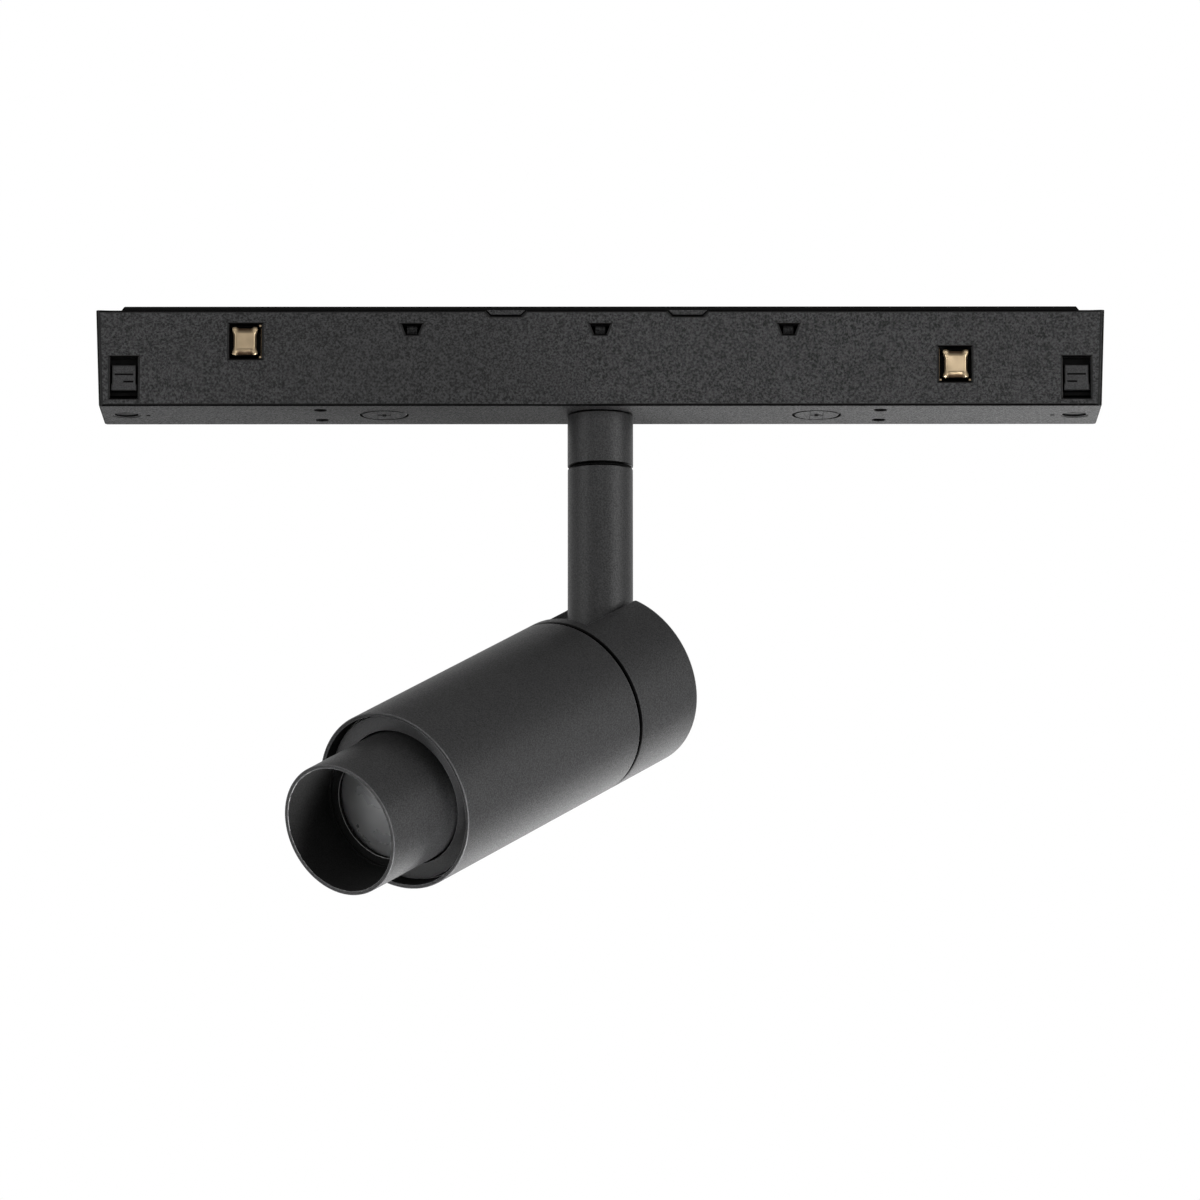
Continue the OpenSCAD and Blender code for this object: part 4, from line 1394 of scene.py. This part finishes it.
@dataclass
class Contacts(Assembly):
    """Two sprung plated contacts in the adapter's front wall."""

    half_x: float = 2.85
    half_z: float = 3.2
    steps: int = 44
    flat: tuple[float, float] = (0.66, 0.52)
    prong: tuple[float, float] = (0.35, 0.42)
    prong_end: tuple[float, float] = (0.9, 0.75)
    dish: tuple[float, float] = (0.35, 0.8)
    edge: float = 0.3
    edge_from: float = 0.88
    round: float = 0.05
    round_power: int = 4
    pinch: tuple[float, float] = (0.12, 0.07)
    back: float = -6.4
    sheet: float = 0.3
    lean: float = 0.14
    flange_half: tuple[float, float] = (4.2, 2.3)
    flange_y: tuple[float, float] = (-9.3, -8.5)
    wing_y: tuple[float, float] = (-10.3, -8.5)
    tab: tuple[float, float] = (3.0, 3.5)
    tab_z: tuple[float, float] = (3.32, 3.78)
    tab_front: float = -10.9
    shadow_y: float = -10.2

    def bites(self, at: Vector) -> tuple[float, float]:
        """How deep the side dishes and the end dishes are at a point of the cup's front.

        Args:
            at: The point, from -1 to 1 both ways.

        Returns:
            The depth of the side dish and of the end dish, from 0 to 1.
        """
        wide, tall = abs(at.x), abs(at.y)
        rows = zip((wide, tall), (tall, wide), self.flat, self.prong, self.prong_end)
        side_bite, end_bite = (
            smooth_step(flat, 1.0, out) * (1 - smooth_step(prong, end, across))
            for out, across, flat, prong, end in rows
        )
        return side_bite, end_bite

    def cup(self, side: Side) -> BMesh:
        """A pressed cup whose dished front keeps four ridges out to its corners.

        Args:
            side: Which end of the adapter.

        Returns:
            The shape.
        """
        low, high = box_mm(f"contact_{side.label}")
        middle = (low + high) / 2 + Vector((side.sign * self.lean, 0, 0))
        shape = bmesh.new()
        bmesh.ops.create_grid(shape, x_segments=self.steps, y_segments=self.steps, size=1)
        # The end dishes are marked for painted shade, strongest where they are deepest.
        cup_shade = shape.faces.layers.float.new(EDGE_LAYER)
        for face in shape.faces:
            face[cup_shade] = self.bites(face.calc_center_median())[1]
        for vert in shape.verts:
            u, v = vert.co.x, vert.co.y
            side_bite, end_bite = self.bites(vert.co)
            edge = self.edge * smooth_step(self.edge_from, 1.0, max(abs(u), abs(v)))
            corner = 1 - self.round * (u * v) ** self.round_power
            vert.co = Vector((
                middle.x + self.half_x * u * corner * (1 - self.pinch[0] * side_bite),
                low.y + max(self.dish[0] * side_bite, self.dish[1] * end_bite) + edge,
                middle.z + self.half_z * v * corner * (1 - self.pinch[1] * end_bite),
            ))
        rim = [edge for edge in shape.edges if len(edge.link_faces) == 1]
        made = bmesh.ops.extrude_edge_only(shape, edges=rim)["geom"]
        for vert in (g for g in made if isinstance(g, BMVert)):
            vert.co.y = self.back
        bmesh.ops.recalc_face_normals(shape, faces=shape.faces)
        bmesh.ops.solidify(shape, geom=shape.faces[:], thickness=self.sheet)
        return shape

    def wings(self, side: Side) -> BMesh:
        """The flange that holds the cup in, with a thin wing and two bent tabs in the window.

        Args:
            side: Which end of the adapter.

        Returns:
            The shape.
        """
        low, high = box_mm(f"contact_{side.label}")
        x, z = (low.x + high.x) / 2, (low.z + high.z) / 2
        wide, tall = self.flange_half
        flange = block((x - wide, self.flange_y[0], z - tall), (x + wide, self.flange_y[1], z + tall))
        inner = -side.sign
        spine = sorted(x + inner * reach for reach in (self.tab[1] - self.sheet / 3, self.tab[1]))
        top = z + self.tab_z[1]
        shapes = [block((spine[0], self.wing_y[0], z - self.tab_z[1]), (spine[1], self.wing_y[1], top))]
        other = (inner, 1) if side is Side.LEFT else (-inner, -1)
        for across, rise in ((inner, -1), other):
            xs = sorted(x + across * reach for reach in self.tab)
            zs = sorted(z + rise * height for height in self.tab_z)
            shapes.append(block((xs[0], self.tab_front, zs[0]), (xs[1], self.wing_y[1], zs[1])))
        # The wings' rounded edges are marked for the same painted shade.
        for shape in shapes:
            soften(shape, self.sheet / 8)
        return join([flange, *shapes])

    def build(self, finishes: Finishes) -> None:
        """Makes both contacts."""
        for side in Side:
            name = f"contact_{side.label}"
            shape = join([self.cup(side), self.wings(side)])
            # Faces behind the shadow line take the near-black inner_plastic finish: painted shade on the cup's
            # walls and on the flange round it.
            finish(
                shape, f"{name}_cup", f"{side.label}_contact", [name], "contact_gold", finishes,
                adapter_place(), lambda centre: centre.y > self.shadow_y, "inner_plastic",
            )


@dataclass
class Locks(Assembly):
    """Two turn locks, each with a slotted head, a cam and two sliding bolts."""

    head: float = 3.0
    head_h: float = 1.6
    head_edge: float = 0.06
    head_steps: int = 64
    rim: float = 0.25
    dish: float = 0.48
    slot: tuple[float, float] = (4.8, 0.9)
    slot_depth: float = 0.8
    sunk_from: float = 0.1
    sunk_skin: float = 0.05
    neck: tuple[float, float] = (3.8, 1.8)
    neck_h: float = 2.3
    neck_steps: int = 48
    cam: tuple[float, float] = (1.9, 3.4)
    cam_turn: tuple[int, int] = (90, 150)
    cam_step: int = 6
    cam_h: float = 5.8
    cam_drop: float = 8.5
    pin: float = 1.5
    pin_steps: int = 32
    bolt_h: float = 5.8
    bolt_tail: float = 5.2
    bolt_edge: float = 0.25
    nose_share: float = 0.3
    lug_half: float = 1.2
    lug_y: tuple[float, float] = (-5.6, -4.6)
    foot_h: float = 1.6
    foot_out: float = 0.2
    groove: float = 0.42
    front_skin: float = 0.15
    grooves: tuple[tuple[float, float, float], ...] = ((0.0, 2.1, 3.5), (1.0, 1.15, 1.85))

    def cam_radius(self, degrees: float) -> float:
        """Radius of the cam, which falls over a quarter turn, stays low and rises steeply.

        Args:
            degrees: The angle, from 0 to 180.

        Returns:
            The radius at that angle.
        """
        low, high = self.cam
        fallen, rising = self.cam_turn
        if degrees <= fallen:
            return high - (high - low) * degrees / fallen
        if degrees <= rising:
            return low
        return low + (high - low) * (degrees - rising) / (180 - rising)

    def head_shape(self, foot: float) -> BMesh:
        """The lock's head, dished below, with a screwdriver slot.

        Args:
            foot: Height of its underside.

        Returns:
            The shape, about the lock's axis.
        """
        shape = turned(ring_section(0, self.head, foot, foot + self.head_h), self.head_steps)
        merge_flat(shape, 1)
        face = flat_face(shape, Vector((0, 0, foot)), Z_AXIS)
        bmesh.ops.inset_region(shape, faces=[face], thickness=self.rim, use_even_offset=True)
        push(shape, [face], Vector((0, 0, self.dish)))
        at = Vector((0, 0, foot + self.dish))
        cuts = window_cuts(at, X_AXIS, self.slot[0] / 2, Y_AXIS, self.slot[1] / 2)
        push(shape, [carve(shape, at, Z_AXIS, cuts)], Vector((0, 0, self.slot_depth)))
        # The underside's rounded edges get the lock finish's light painted edge line: a painted highlight.
        soften(shape, self.head_edge, where=both_ends(lambda point: point.z < foot + NEAR))
        return shape

    def shaft(self, side: Side) -> BMesh:
        """The lock's shaft: slotted head below, cam in the middle, pin above.

        Args:
            side: Which end of the adapter.

        Returns:
            The shape.
        """
        low, high = box_mm(f"lock_shaft_{side.label}")
        cam_low = box_mm(f"bolt_{side.label}_front")[1].z - self.cam_drop
        outline = []
        for turn in (0, math.pi):
            for degrees in range(0, 180, self.cam_step):
                angle, radius = turn + math.radians(degrees), self.cam_radius(degrees)
                outline.append(Vector((radius * math.cos(angle), radius * math.sin(angle), cam_low)))
        wide, slim = self.neck
        start, end = low.z + self.head_h, low.z + self.neck_h
        neck = [(0, start), (wide, start), (wide, end), (slim, end), (slim, cam_low), (0, cam_low)]
        whole = join([
            self.head_shape(low.z),
            turned(neck, self.neck_steps),
            slab(outline, Vector((0, 0, self.cam_h))),
            turned(ring_section(0, self.pin, cam_low + self.cam_h, high.z), self.pin_steps),
        ])
        bmesh.ops.translate(whole, verts=whole.verts, vec=((low.x + high.x) / 2, 0, 0))
        return whole

    def bolt(self, side: Side, facing: Facing) -> BMesh:
        """A locking bolt: stepped outer face, rounded nose towards the cam, spring lug on top.

        Args:
            side: Which end of the adapter.
            facing: Which long side it comes out of.

        Returns:
            The shape.
        """
        low, high = box_mm(f"bolt_{side.label}_{facing.label}")
        half = (high.x - low.x) / 2
        narrow = half - self.foot_out
        foot, top = low.z, low.z + self.bolt_h
        nose, outer = sorted((abs(low.y), abs(high.y)))
        step = foot + self.foot_h
        corners = [
            (-half, foot), (half, foot), (half, step), (narrow, step),
            (narrow, top), (-narrow, top), (-narrow, step), (-half, step),
        ]
        sweep = Vector((0, outer - self.bolt_tail, 0))
        shape = slab([Vector((x, -outer, z)) for x, z in corners], sweep)
        # The front's rounded edges get the bolt finish's near-black painted edge line: a painted dark outline.
        soften(shape, self.bolt_edge, where=both_ends(lambda point: point.y < -outer + NEAR))
        for shift, reach, z in self.grooves:
            at = Vector((side.sign * facing.sign * shift, -outer, foot + z + self.groove / 2))
            cuts = window_cuts(at, X_AXIS, reach, Z_AXIS, self.groove / 2)
            push(shape, [carve(shape, at, Y_AXIS, cuts)], Vector((0, self.groove, 0)))
        tail = flat_face(shape, Vector((0, -self.bolt_tail, (step + top) / 2)), Y_AXIS)
        tip = push(shape, [tail], Vector((0, self.bolt_tail - nose, 0)))[0]
        for vert in tip.verts:
            vert.co.x *= self.nose_share
        lug = block((-self.lug_half, self.lug_y[0], top), (self.lug_half, self.lug_y[1], high.z))
        whole = join([shape, lug])
        if facing is Facing.BACK:
            bmesh.ops.rotate(whole, verts=whole.verts, matrix=Matrix.Rotation(math.pi, 3, "Z"))
        bmesh.ops.translate(whole, verts=whole.verts, vec=((low.x + high.x) / 2, 0, 0))
        return whole

    def build(self, finishes: Finishes) -> None:
        """Makes the locks of both ends."""
        for side in Side:
            shaft = f"lock_shaft_{side.label}"
            low, high = box_mm(shaft)

            def sunk(centre: Vector, middle: float = (low.x + high.x) / 2, foot: float = low.z) -> bool:
                """Whether a point lies on a wall of the head's dish or in its slot."""
                near = math.hypot(centre.x - middle, centre.y) < self.head - self.sunk_from
                rise, skin = centre.z - foot, self.sunk_skin
                wall = self.sunk_from < rise < self.dish - skin
                return near and (wall or self.dish + skin < rise < self.dish + self.slot_depth + skin)

            # The dish walls and the slot take the near-black inner_plastic finish: painted shade.
            finish(
                self.shaft(side), f"turn_lock_{side.label}", f"{side.label}_lock", [shaft], "lock_metal",
                finishes, adapter_place(), sunk, "inner_plastic",
            )
            for facing in Facing:
                node = f"bolt_{side.label}_{facing.label}"
                reach = max(abs(edge.y) for edge in box_mm(node))
                # All but the bolt's front take the near-black inner_plastic finish: painted shade round the bolt.
                finish(
                    self.bolt(side, facing), f"lock_{node}", f"{side.label}_{facing.label}_bolt", [node],
                    "bolt_plastic", finishes, adapter_place(),
                    lambda centre, reach=reach: abs(centre.y) < reach - self.front_skin, "inner_plastic",
                )


# ---- stem ----


@dataclass
class Stem(Assembly):
    """Tube that turns under the collar and carries the head's pivot."""

    bore: float = 6.0
    flat_x: float = 6.9
    flat_reach: float = 8.0
    flat_step: float = 0.1
    opening: float = 2.6
    edge: float = 0.36
    inside: float = 7.0

    def tube(self) -> BMesh:
        """The tube, with a round end about the pivot, side flats and a wire opening.

        Returns:
            The shape.
        """
        high = reach_mm("stem_tube", stem_place())[1]
        radius, top = high.y, high.z
        rows = [top, self.flat_reach, self.flat_reach - self.flat_step, self.opening, 0.0]
        outline = [(radius, z) for z in rows] + [(self.bore, z) for z in reversed(rows)]
        shape = turned(outline)
        brim = both_ends(lambda point: point.z > top - NEAR and point.xy.length > self.inside)
        # The top brim: painted shade where the stem meets the collar.
        soften(shape, self.edge, 3, brim, PAINTED_SHADE)
        for vert in shape.verts:
            if vert.co.z < self.flat_reach - self.flat_step / 2 and abs(vert.co.x) > self.flat_x:
                vert.co.x = math.copysign(self.flat_x, vert.co.x)
            if abs(vert.co.z) < NEAR:
                vert.co.z = -math.sqrt(max(radius ** 2 - vert.co.y ** 2, 0.0))
        for x in (-self.opening, self.opening):
            cut_through(shape, (x, 0, 0), X_AXIS)
        middle = (radius + self.bore) / 2
        gap = [
            face for face in shape.faces
            if (c := face.calc_center_median()).y < 0 and abs(c.x) < self.opening and c.z < self.opening
        ]
        open_edge(shape, gap, lambda p: math.hypot(p.x, p.y) > middle)
        return shape

    def build(self, finishes: Finishes) -> None:
        """Makes the stem."""
        finish(self.tube(), "turning_stem", "stem", ["stem_tube"], "black_coat", finishes, stem_place())


# ---- head ----


@dataclass
class Head(Assembly):
    """Round head: rear cap with the stem's slot, barrel, core and front bezel."""

    wall: float = 1.5
    corner: float = 1.2
    slot_half: float = 9.6
    slot_reach: float = 9.35
    cheek: tuple[float, float] = (7.46, 10.46)
    cheek_r: float = 7.6
    rim_wall: float = 0.9
    rim_depth: float = 4.2
    seam_r: float = 18.3
    seam: tuple[float, float] = (12.5, 13.0)
    seam_edge: float = 0.6
    cap_edge: float = 0.2
    cap_edge_from: float = 0.7
    barrel_edge: float = 0.2
    fine_steps: int = 160
    disc: float = 18.45
    disc_back: float = 9.8
    cheek_edge: float = 0.3
    pivot: float = 2.06
    pivot_steps: int = 32
    bezel_bore: float = 15.15
    bezel_edge: float = 0.18
    mouth_skin: tuple[float, float] = (0.02, 0.25)

    def rear_cap(self) -> BMesh:
        """The cap behind the seam, open towards the stem over its whole tilt.

        Returns:
            The shape.
        """
        low, high = reach_mm("rear_shell", head_place())
        radius, back, front = high.x, low.z, high.z
        inner = radius - self.wall
        outline = [(radius, front)]
        outline += arc((radius - self.corner, back + self.corner), self.corner, 0, -90, 6)
        outline += [(0, back), (0, back + self.wall), (inner, back + self.wall), (inner, front)]
        shape = turned(outline)
        planes = [
            ((-self.slot_half, 0, 0), X_AXIS), ((self.slot_half, 0, 0), X_AXIS),
            ((0, 0, self.slot_reach), Z_AXIS), ((0, -self.slot_reach, 0), Y_AXIS),
        ]
        for point, direction in planes:
            cut_through(shape, point, direction)
        gap = []
        for face in shape.faces:
            c = face.calc_center_median()
            top = c.y > 0 and c.z < self.slot_reach
            rear = c.y > -self.slot_reach and c.z < back + self.wall + 0.5
            if abs(c.x) < self.slot_half and (top or rear):
                gap.append(face)
        border = border_edges(gap)
        bmesh.ops.delete(shape, geom=gap, context="FACES")
        bmesh.ops.bridge_loops(shape, edges=[edge for edge in border if edge.is_valid])
        behind = front - self.cap_edge_from
        # The seam edge gets painted shade; the edges further back get the light painted edge line, a painted
        # highlight.
        soften(shape, self.seam_edge, where=both_ends(lambda point: point.z > front - NEAR), mark=PAINTED_SHADE)
        soften(shape, self.cap_edge, where=lambda edge: any(vert.co.z < behind for vert in edge.verts))
        return shape

    def barrel(self) -> BMesh:
        """The long tube in front of the seam, with a thin rim at its mouth.

        Returns:
            The shape.
        """
        low, high = reach_mm("barrel", head_place())
        radius, inner, rim = high.x, high.x - self.wall, high.x - self.rim_wall
        ledge = high.z - self.rim_depth
        section = [
            (inner, low.z), (radius, low.z), (radius, high.z), (rim, high.z), (rim, ledge), (inner, ledge)
        ]
        shape = turned(section, self.fine_steps)
        # The rims get the light painted edge line: a painted highlight.
        soften(shape, self.barrel_edge, 3)
        return shape

    def core(self) -> BMesh:
        """The solid core that joins cap and barrel, with the two pivot cheeks.

        Returns:
            The shape.
        """
        high = reach_mm("yoke", head_place())[1]
        disc, back, front = self.disc, self.disc_back, high.z
        seam_back, seam_front = self.seam
        shapes = [turned([
            (0, back), (disc, back), (disc, seam_back), (high.x, seam_back),
            (high.x, seam_front), (disc, seam_front), (disc, front), (0, front),
        ])]
        for s in (-1, 1):
            rear = [Vector((s * self.cheek[0], y, z)) for z, y in arc((0, 0), self.cheek_r, 90, 270, 24)]
            corners = [Vector((s * self.cheek[0], y, back + 0.5)) for y in (-self.cheek_r, self.cheek_r)]
            cheek = slab(rear + corners, Vector((s * (self.cheek[1] - self.cheek[0]), 0, 0)))
            centres = [Vector((s * x, 0, 0)) for x in self.cheek]
            pierce(cheek, *(round_face(cheek, at, X_AXIS, self.pivot, self.pivot_steps) for at in centres))
            # The cheeks' rounded edges get the light painted edge line: a painted highlight.
            soften(cheek, self.cheek_edge)
            shapes.append(cheek)
        return join(shapes)

    def bezel(self) -> BMesh:
        """The flat ring round the zoom tube, sunk in the barrel's mouth.

        Returns:
            The shape.
        """
        low, high = reach_mm("front_bezel", head_place())
        shape = turned(ring_section(self.bezel_bore, high.x, low.z, high.z), self.fine_steps)
        # The bezel's rounded edges get the light painted edge line: a painted highlight.
        soften(shape, self.bezel_edge)
        return shape

    def build(self, finishes: Finishes) -> None:
        """Makes the head's outer pieces."""
        place = head_place()
        high = reach_mm("barrel", place)[1]
        skin, depth = self.mouth_skin

        def mouth_wall(centre: Vector) -> bool:
            """Whether a point of the barrel lies on its inner side."""
            return centre.xy.length < high.x - self.rim_wall + skin and centre.z < high.z - depth

        finish(self.rear_cap(), "head_rear_cap", "head", ["rear_shell"], "black_coat", finishes, place)
        # The inner side of the barrel's mouth takes the inner_black finish: painted shade.
        finish(self.barrel(), "head_barrel", "head", ["barrel"], "black_coat", finishes, place, mouth_wall)
        # The seam ring between cap and barrel takes the near-black inner_plastic finish: painted shade in the
        # seam.
        finish(
            self.core(), "head_core", "head", ["yoke"], "black_coat", finishes, place,
            lambda centre: centre.xy.length > self.seam_r, "inner_plastic",
        )
        finish(self.bezel(), "head_front_bezel", "head", ["front_bezel"], "bezel_coat", finishes, place)


@dataclass
class Zoom(Assembly):
    """Sliding zoom tube with its lens."""

    wall: float = 0.9
    lens_bore: float = 13.4
    filter_s: float = 81.0
    lens_edge: float = 3.3
    ledge: tuple[float, float] = (12.0, 1.5)
    steps: int = 160
    mouth_edge: float = 0.16
    glass_edge: float = 0.15
    dome_steps: int = 24
    ring_bore: tuple[float, float] = (11.75, 11.6)
    ring_edge: float = 0.12
    ring_inside: float = 12.0
    near_front: float = 0.1
    bore_skin: tuple[float, float] = (0.02, 0.12)

    def tube(self) -> BMesh:
        """The tube, with a ledge behind the lens and a wider bore in front of it.

        Returns:
            The shape.
        """
        low, high = reach_mm("zoom_tube", head_place())
        lens_back = reach_mm("zoom_lens", head_place())[0].z
        radius, inner, bore = high.x, high.x - self.wall, self.lens_bore
        ledge, ledge_back = self.ledge[0], lens_back - self.ledge[1]
        section = [
            (bore, low.z), (radius, low.z), (radius, high.z), (inner, high.z), (inner, self.filter_s),
            (bore, self.filter_s), (bore, lens_back), (ledge, lens_back), (ledge, ledge_back),
            (bore, ledge_back),
        ]
        shape = turned(section, self.steps)
        # The mouth's rounded edges get the light painted edge line: a painted highlight.
        soften(shape, self.mouth_edge, 3, both_ends(lambda point: point.z > high.z - self.near_front))
        return shape

    def lens(self) -> BMesh:
        """The lens: flat back, straight edge, domed front.

        Returns:
            The shape.
        """
        low, high = reach_mm("zoom_lens", head_place())
        radius, back, apex = high.x, low.z, high.z
        rise = apex - back - self.lens_edge
        ball = (radius ** 2 + rise ** 2) / (2 * rise)
        reach = math.degrees(math.asin(radius / ball))
        dome = arc((0, apex - ball), ball, 90 - reach, 90, self.dome_steps)
        shape = turned([(0, back), (radius, back), *dome])
        soften(shape, self.glass_edge, where=both_ends(lambda point: point.z < back + NEAR))
        return shape

    def ring(self) -> BMesh:
        """The thin ring that holds the lens.

        Returns:
            The shape.
        """
        low, high = reach_mm("lens_ring", head_place())
        behind, ahead = self.ring_bore
        shape = turned([(behind, low.z), (high.x, low.z), (high.x, high.z), (ahead, high.z)])
        front = high.z - self.near_front
        lip = both_ends(lambda point: point.z > front and point.xy.length < self.ring_inside)
        # The ring's inner lip gets the inner_black finish's light edge line: a painted highlight.
        soften(shape, self.ring_edge, where=lip)
        return shape

    def build(self, finishes: Finishes) -> None:
        """Makes the zoom tube's pieces."""
        place = head_place()
        high = reach_mm("zoom_tube", place)[1]
        skin, depth = self.bore_skin

        def bore(centre: Vector) -> bool:
            """Whether a point of the tube lies in its bore."""
            return centre.xy.length < high.x - self.wall + skin and centre.z < high.z - depth

        # The bore takes the inner_black finish, partly a matte black lining and partly painted shade.
        finish(self.tube(), "zoom_sleeve", "zoom", ["zoom_tube"], "black_coat", finishes, place, bore)
        finish(self.lens(), "zoom_lens_glass", "zoom", ["zoom_lens"], "lens_glass", finishes, place)
        finish(self.ring(), "lens_retainer", "zoom", ["lens_ring"], "inner_black", finishes, place)


# ---- studio ----


@dataclass
class Softbox:
    """A square soft lamp that looks at a point."""

    name: str
    place: tuple[float, float, float]
    target: tuple[float, float, float]
    size: float
    power: float

    def build(self) -> None:
        """Adds the lamp."""
        lamp = bpy.data.lights.new(self.name, "AREA")
        lamp.shape = "SQUARE"
        lamp.size = self.size
        lamp.energy = self.power
        holder = bpy.data.objects.new(self.name, lamp)
        look = Vector(self.target) - Vector(self.place)
        turn = look.to_track_quat("-Z", "Y").to_matrix().to_4x4()
        holder.matrix_world = Matrix.Translation(self.place) @ turn
        holder.visible_camera = False
        bpy.context.scene.collection.objects.link(holder)


@dataclass
class Studio:
    """Pale floor, white surround, soft lamps and the camera."""

    floor_z: float = -0.5
    floor_half: float = 4.0
    floor_lift: float = 0.6
    paper: Colour = (0.9, 0.9, 0.9)
    paper_rough: float = 0.9
    ambient: float = 0.3
    overhead: float = 0.65
    overhead_rise: tuple[float, float] = (0.05, 0.8)
    camera_place: tuple[float, float, float] = (0.001605, -1.72582, -0.35612)
    yaw: float = math.radians(-0.056)
    pitch: float = math.radians(9.590)
    roll: float = math.radians(-0.017)
    focal_mm: float = 235.85
    sensor_mm: float = 36.0
    near_clip: float = 0.05
    lamps: list[Softbox] = field(default_factory=lambda: [
        Softbox("right", (1.1, -0.65, -0.05), (0, 0, -0.06), 0.7, 10),
        Softbox("left", (-1.1, -0.65, -0.05), (0, 0, -0.06), 0.7, 5),
        Softbox("front", (0.1, -1.5, 0.25), (0, 0, -0.06), 0.7, 2),
        Softbox("low_left", (-0.62, -0.22, -0.42), (-0.05, -0.05, -0.1), 0.2, 0.5),
        Softbox("below", (0.03, -0.1, -0.44), (0.02, 0, -0.06), 0.15, 3),
        Softbox("behind_low", (0.36, 0.73, -0.4), (0, 0, -0.06), 0.6, 2.6),
    ])

    def camera(self) -> None:
        """Adds the camera, which looks slightly up at the spotlight."""
        view = Vector((
            math.sin(self.yaw) * math.cos(self.pitch), math.cos(self.yaw) * math.cos(self.pitch),
            math.sin(self.pitch),
        ))
        level = Vector((math.cos(self.yaw), -math.sin(self.yaw), 0))
        up = level.cross(view)
        right = level * math.cos(self.roll) + up * math.sin(self.roll)
        up = up * math.cos(self.roll) - level * math.sin(self.roll)
        data = bpy.data.cameras.new("camera")
        data.lens = self.focal_mm
        data.sensor_width = self.sensor_mm
        data.clip_start = self.near_clip
        holder = bpy.data.objects.new("camera", data)
        turn = Matrix((right, up, -view)).transposed().to_4x4()
        holder.matrix_world = Matrix.Translation(self.camera_place) @ turn
        bpy.context.scene.collection.objects.link(holder)
        bpy.context.scene.camera = holder

    def surround(self) -> None:
        """White to the camera and through glass; reflections and light get a dimmer ceiling."""
        world = bpy.data.worlds.new("surround")
        world.use_nodes = True
        graph = Graph(world.node_tree)
        path = graph.add("ShaderNodeLightPath")
        seen = graph.math("MAXIMUM", path.outputs["Is Camera Ray"], path.outputs["Is Transmission Ray"])
        shine = graph.ramp(path.outputs["Is Glossy Ray"], 0, 1, self.ambient, 1.0)
        direction = graph.add("ShaderNodeTexCoord").outputs["Generated"]
        rise = graph.add("ShaderNodeSeparateXYZ", {0: direction}).outputs[2]
        shine = graph.math("MULTIPLY", shine, graph.ramp(rise, *self.overhead_rise, 1.0, self.overhead))
        strength = graph.math("MAXIMUM", seen, shine)
        back = graph.add("ShaderNodeBackground", {"Color": (1, 1, 1, 1), "Strength": strength})
        graph.add("ShaderNodeOutputWorld", {"Surface": back.outputs[0]})
        bpy.context.scene.world = world

    def floor(self) -> None:
        """Adds the pale floor, far below the light."""
        shape = bmesh.new()
        place = Matrix.Translation((0, 0, self.floor_z))
        bmesh.ops.create_grid(shape, x_segments=1, y_segments=1, size=self.floor_half, matrix=place)
        mesh = bpy.data.meshes.new("floor")
        shape.to_mesh(mesh)
        shape.free()
        material, graph, shader = new_material("floor_paper")
        shader.inputs["Base Color"].default_value = with_alpha(self.paper)
        shader.inputs["Roughness"].default_value = self.paper_rough
        glow = graph.add("ShaderNodeEmission", {"Color": (1, 1, 1, 1), "Strength": 1.0})
        to_camera = graph.add("ShaderNodeLightPath").outputs["Is Camera Ray"]
        seen = graph.math("MULTIPLY", to_camera, self.floor_lift)
        pale = graph.add("ShaderNodeMixShader", {0: seen, 1: shader.outputs[0], 2: glow.outputs[0]})
        clear = graph.add("ShaderNodeBsdfTransparent")
        under = graph.add("ShaderNodeNewGeometry").outputs["Backfacing"]
        one_sided = graph.add("ShaderNodeMixShader", {0: under, 1: pale.outputs[0], 2: clear.outputs[0]})
        graph.tree.links.new(one_sided.outputs[0], graph.tree.nodes["Material Output"].inputs[0])
        mesh.materials.append(material)
        floor = bpy.data.objects.new("floor", mesh)
        bpy.context.scene.collection.objects.link(floor)

    def build(self) -> None:
        """Sets the stage."""
        self.camera()
        self.surround()
        self.floor()
        for lamp in self.lamps:
            lamp.build()
        bpy.context.scene.view_settings.view_transform = "Standard"


def main() -> None:
    """Builds the stage, the finishes and every sub-assembly."""
    logging.basicConfig(level=logging.INFO, format="%(message)s")
    Studio().build()
    finishes = Finishes()
    finishes.dress_cad()
    for assembly in (Adapter(), Contacts(), Locks(), Stem(), Head(), Zoom()):
        assembly.build(finishes)
        log.info("%s done", type(assembly).__name__)
    bpy.context.view_layer.update()


if __name__ == "__main__":
    main()
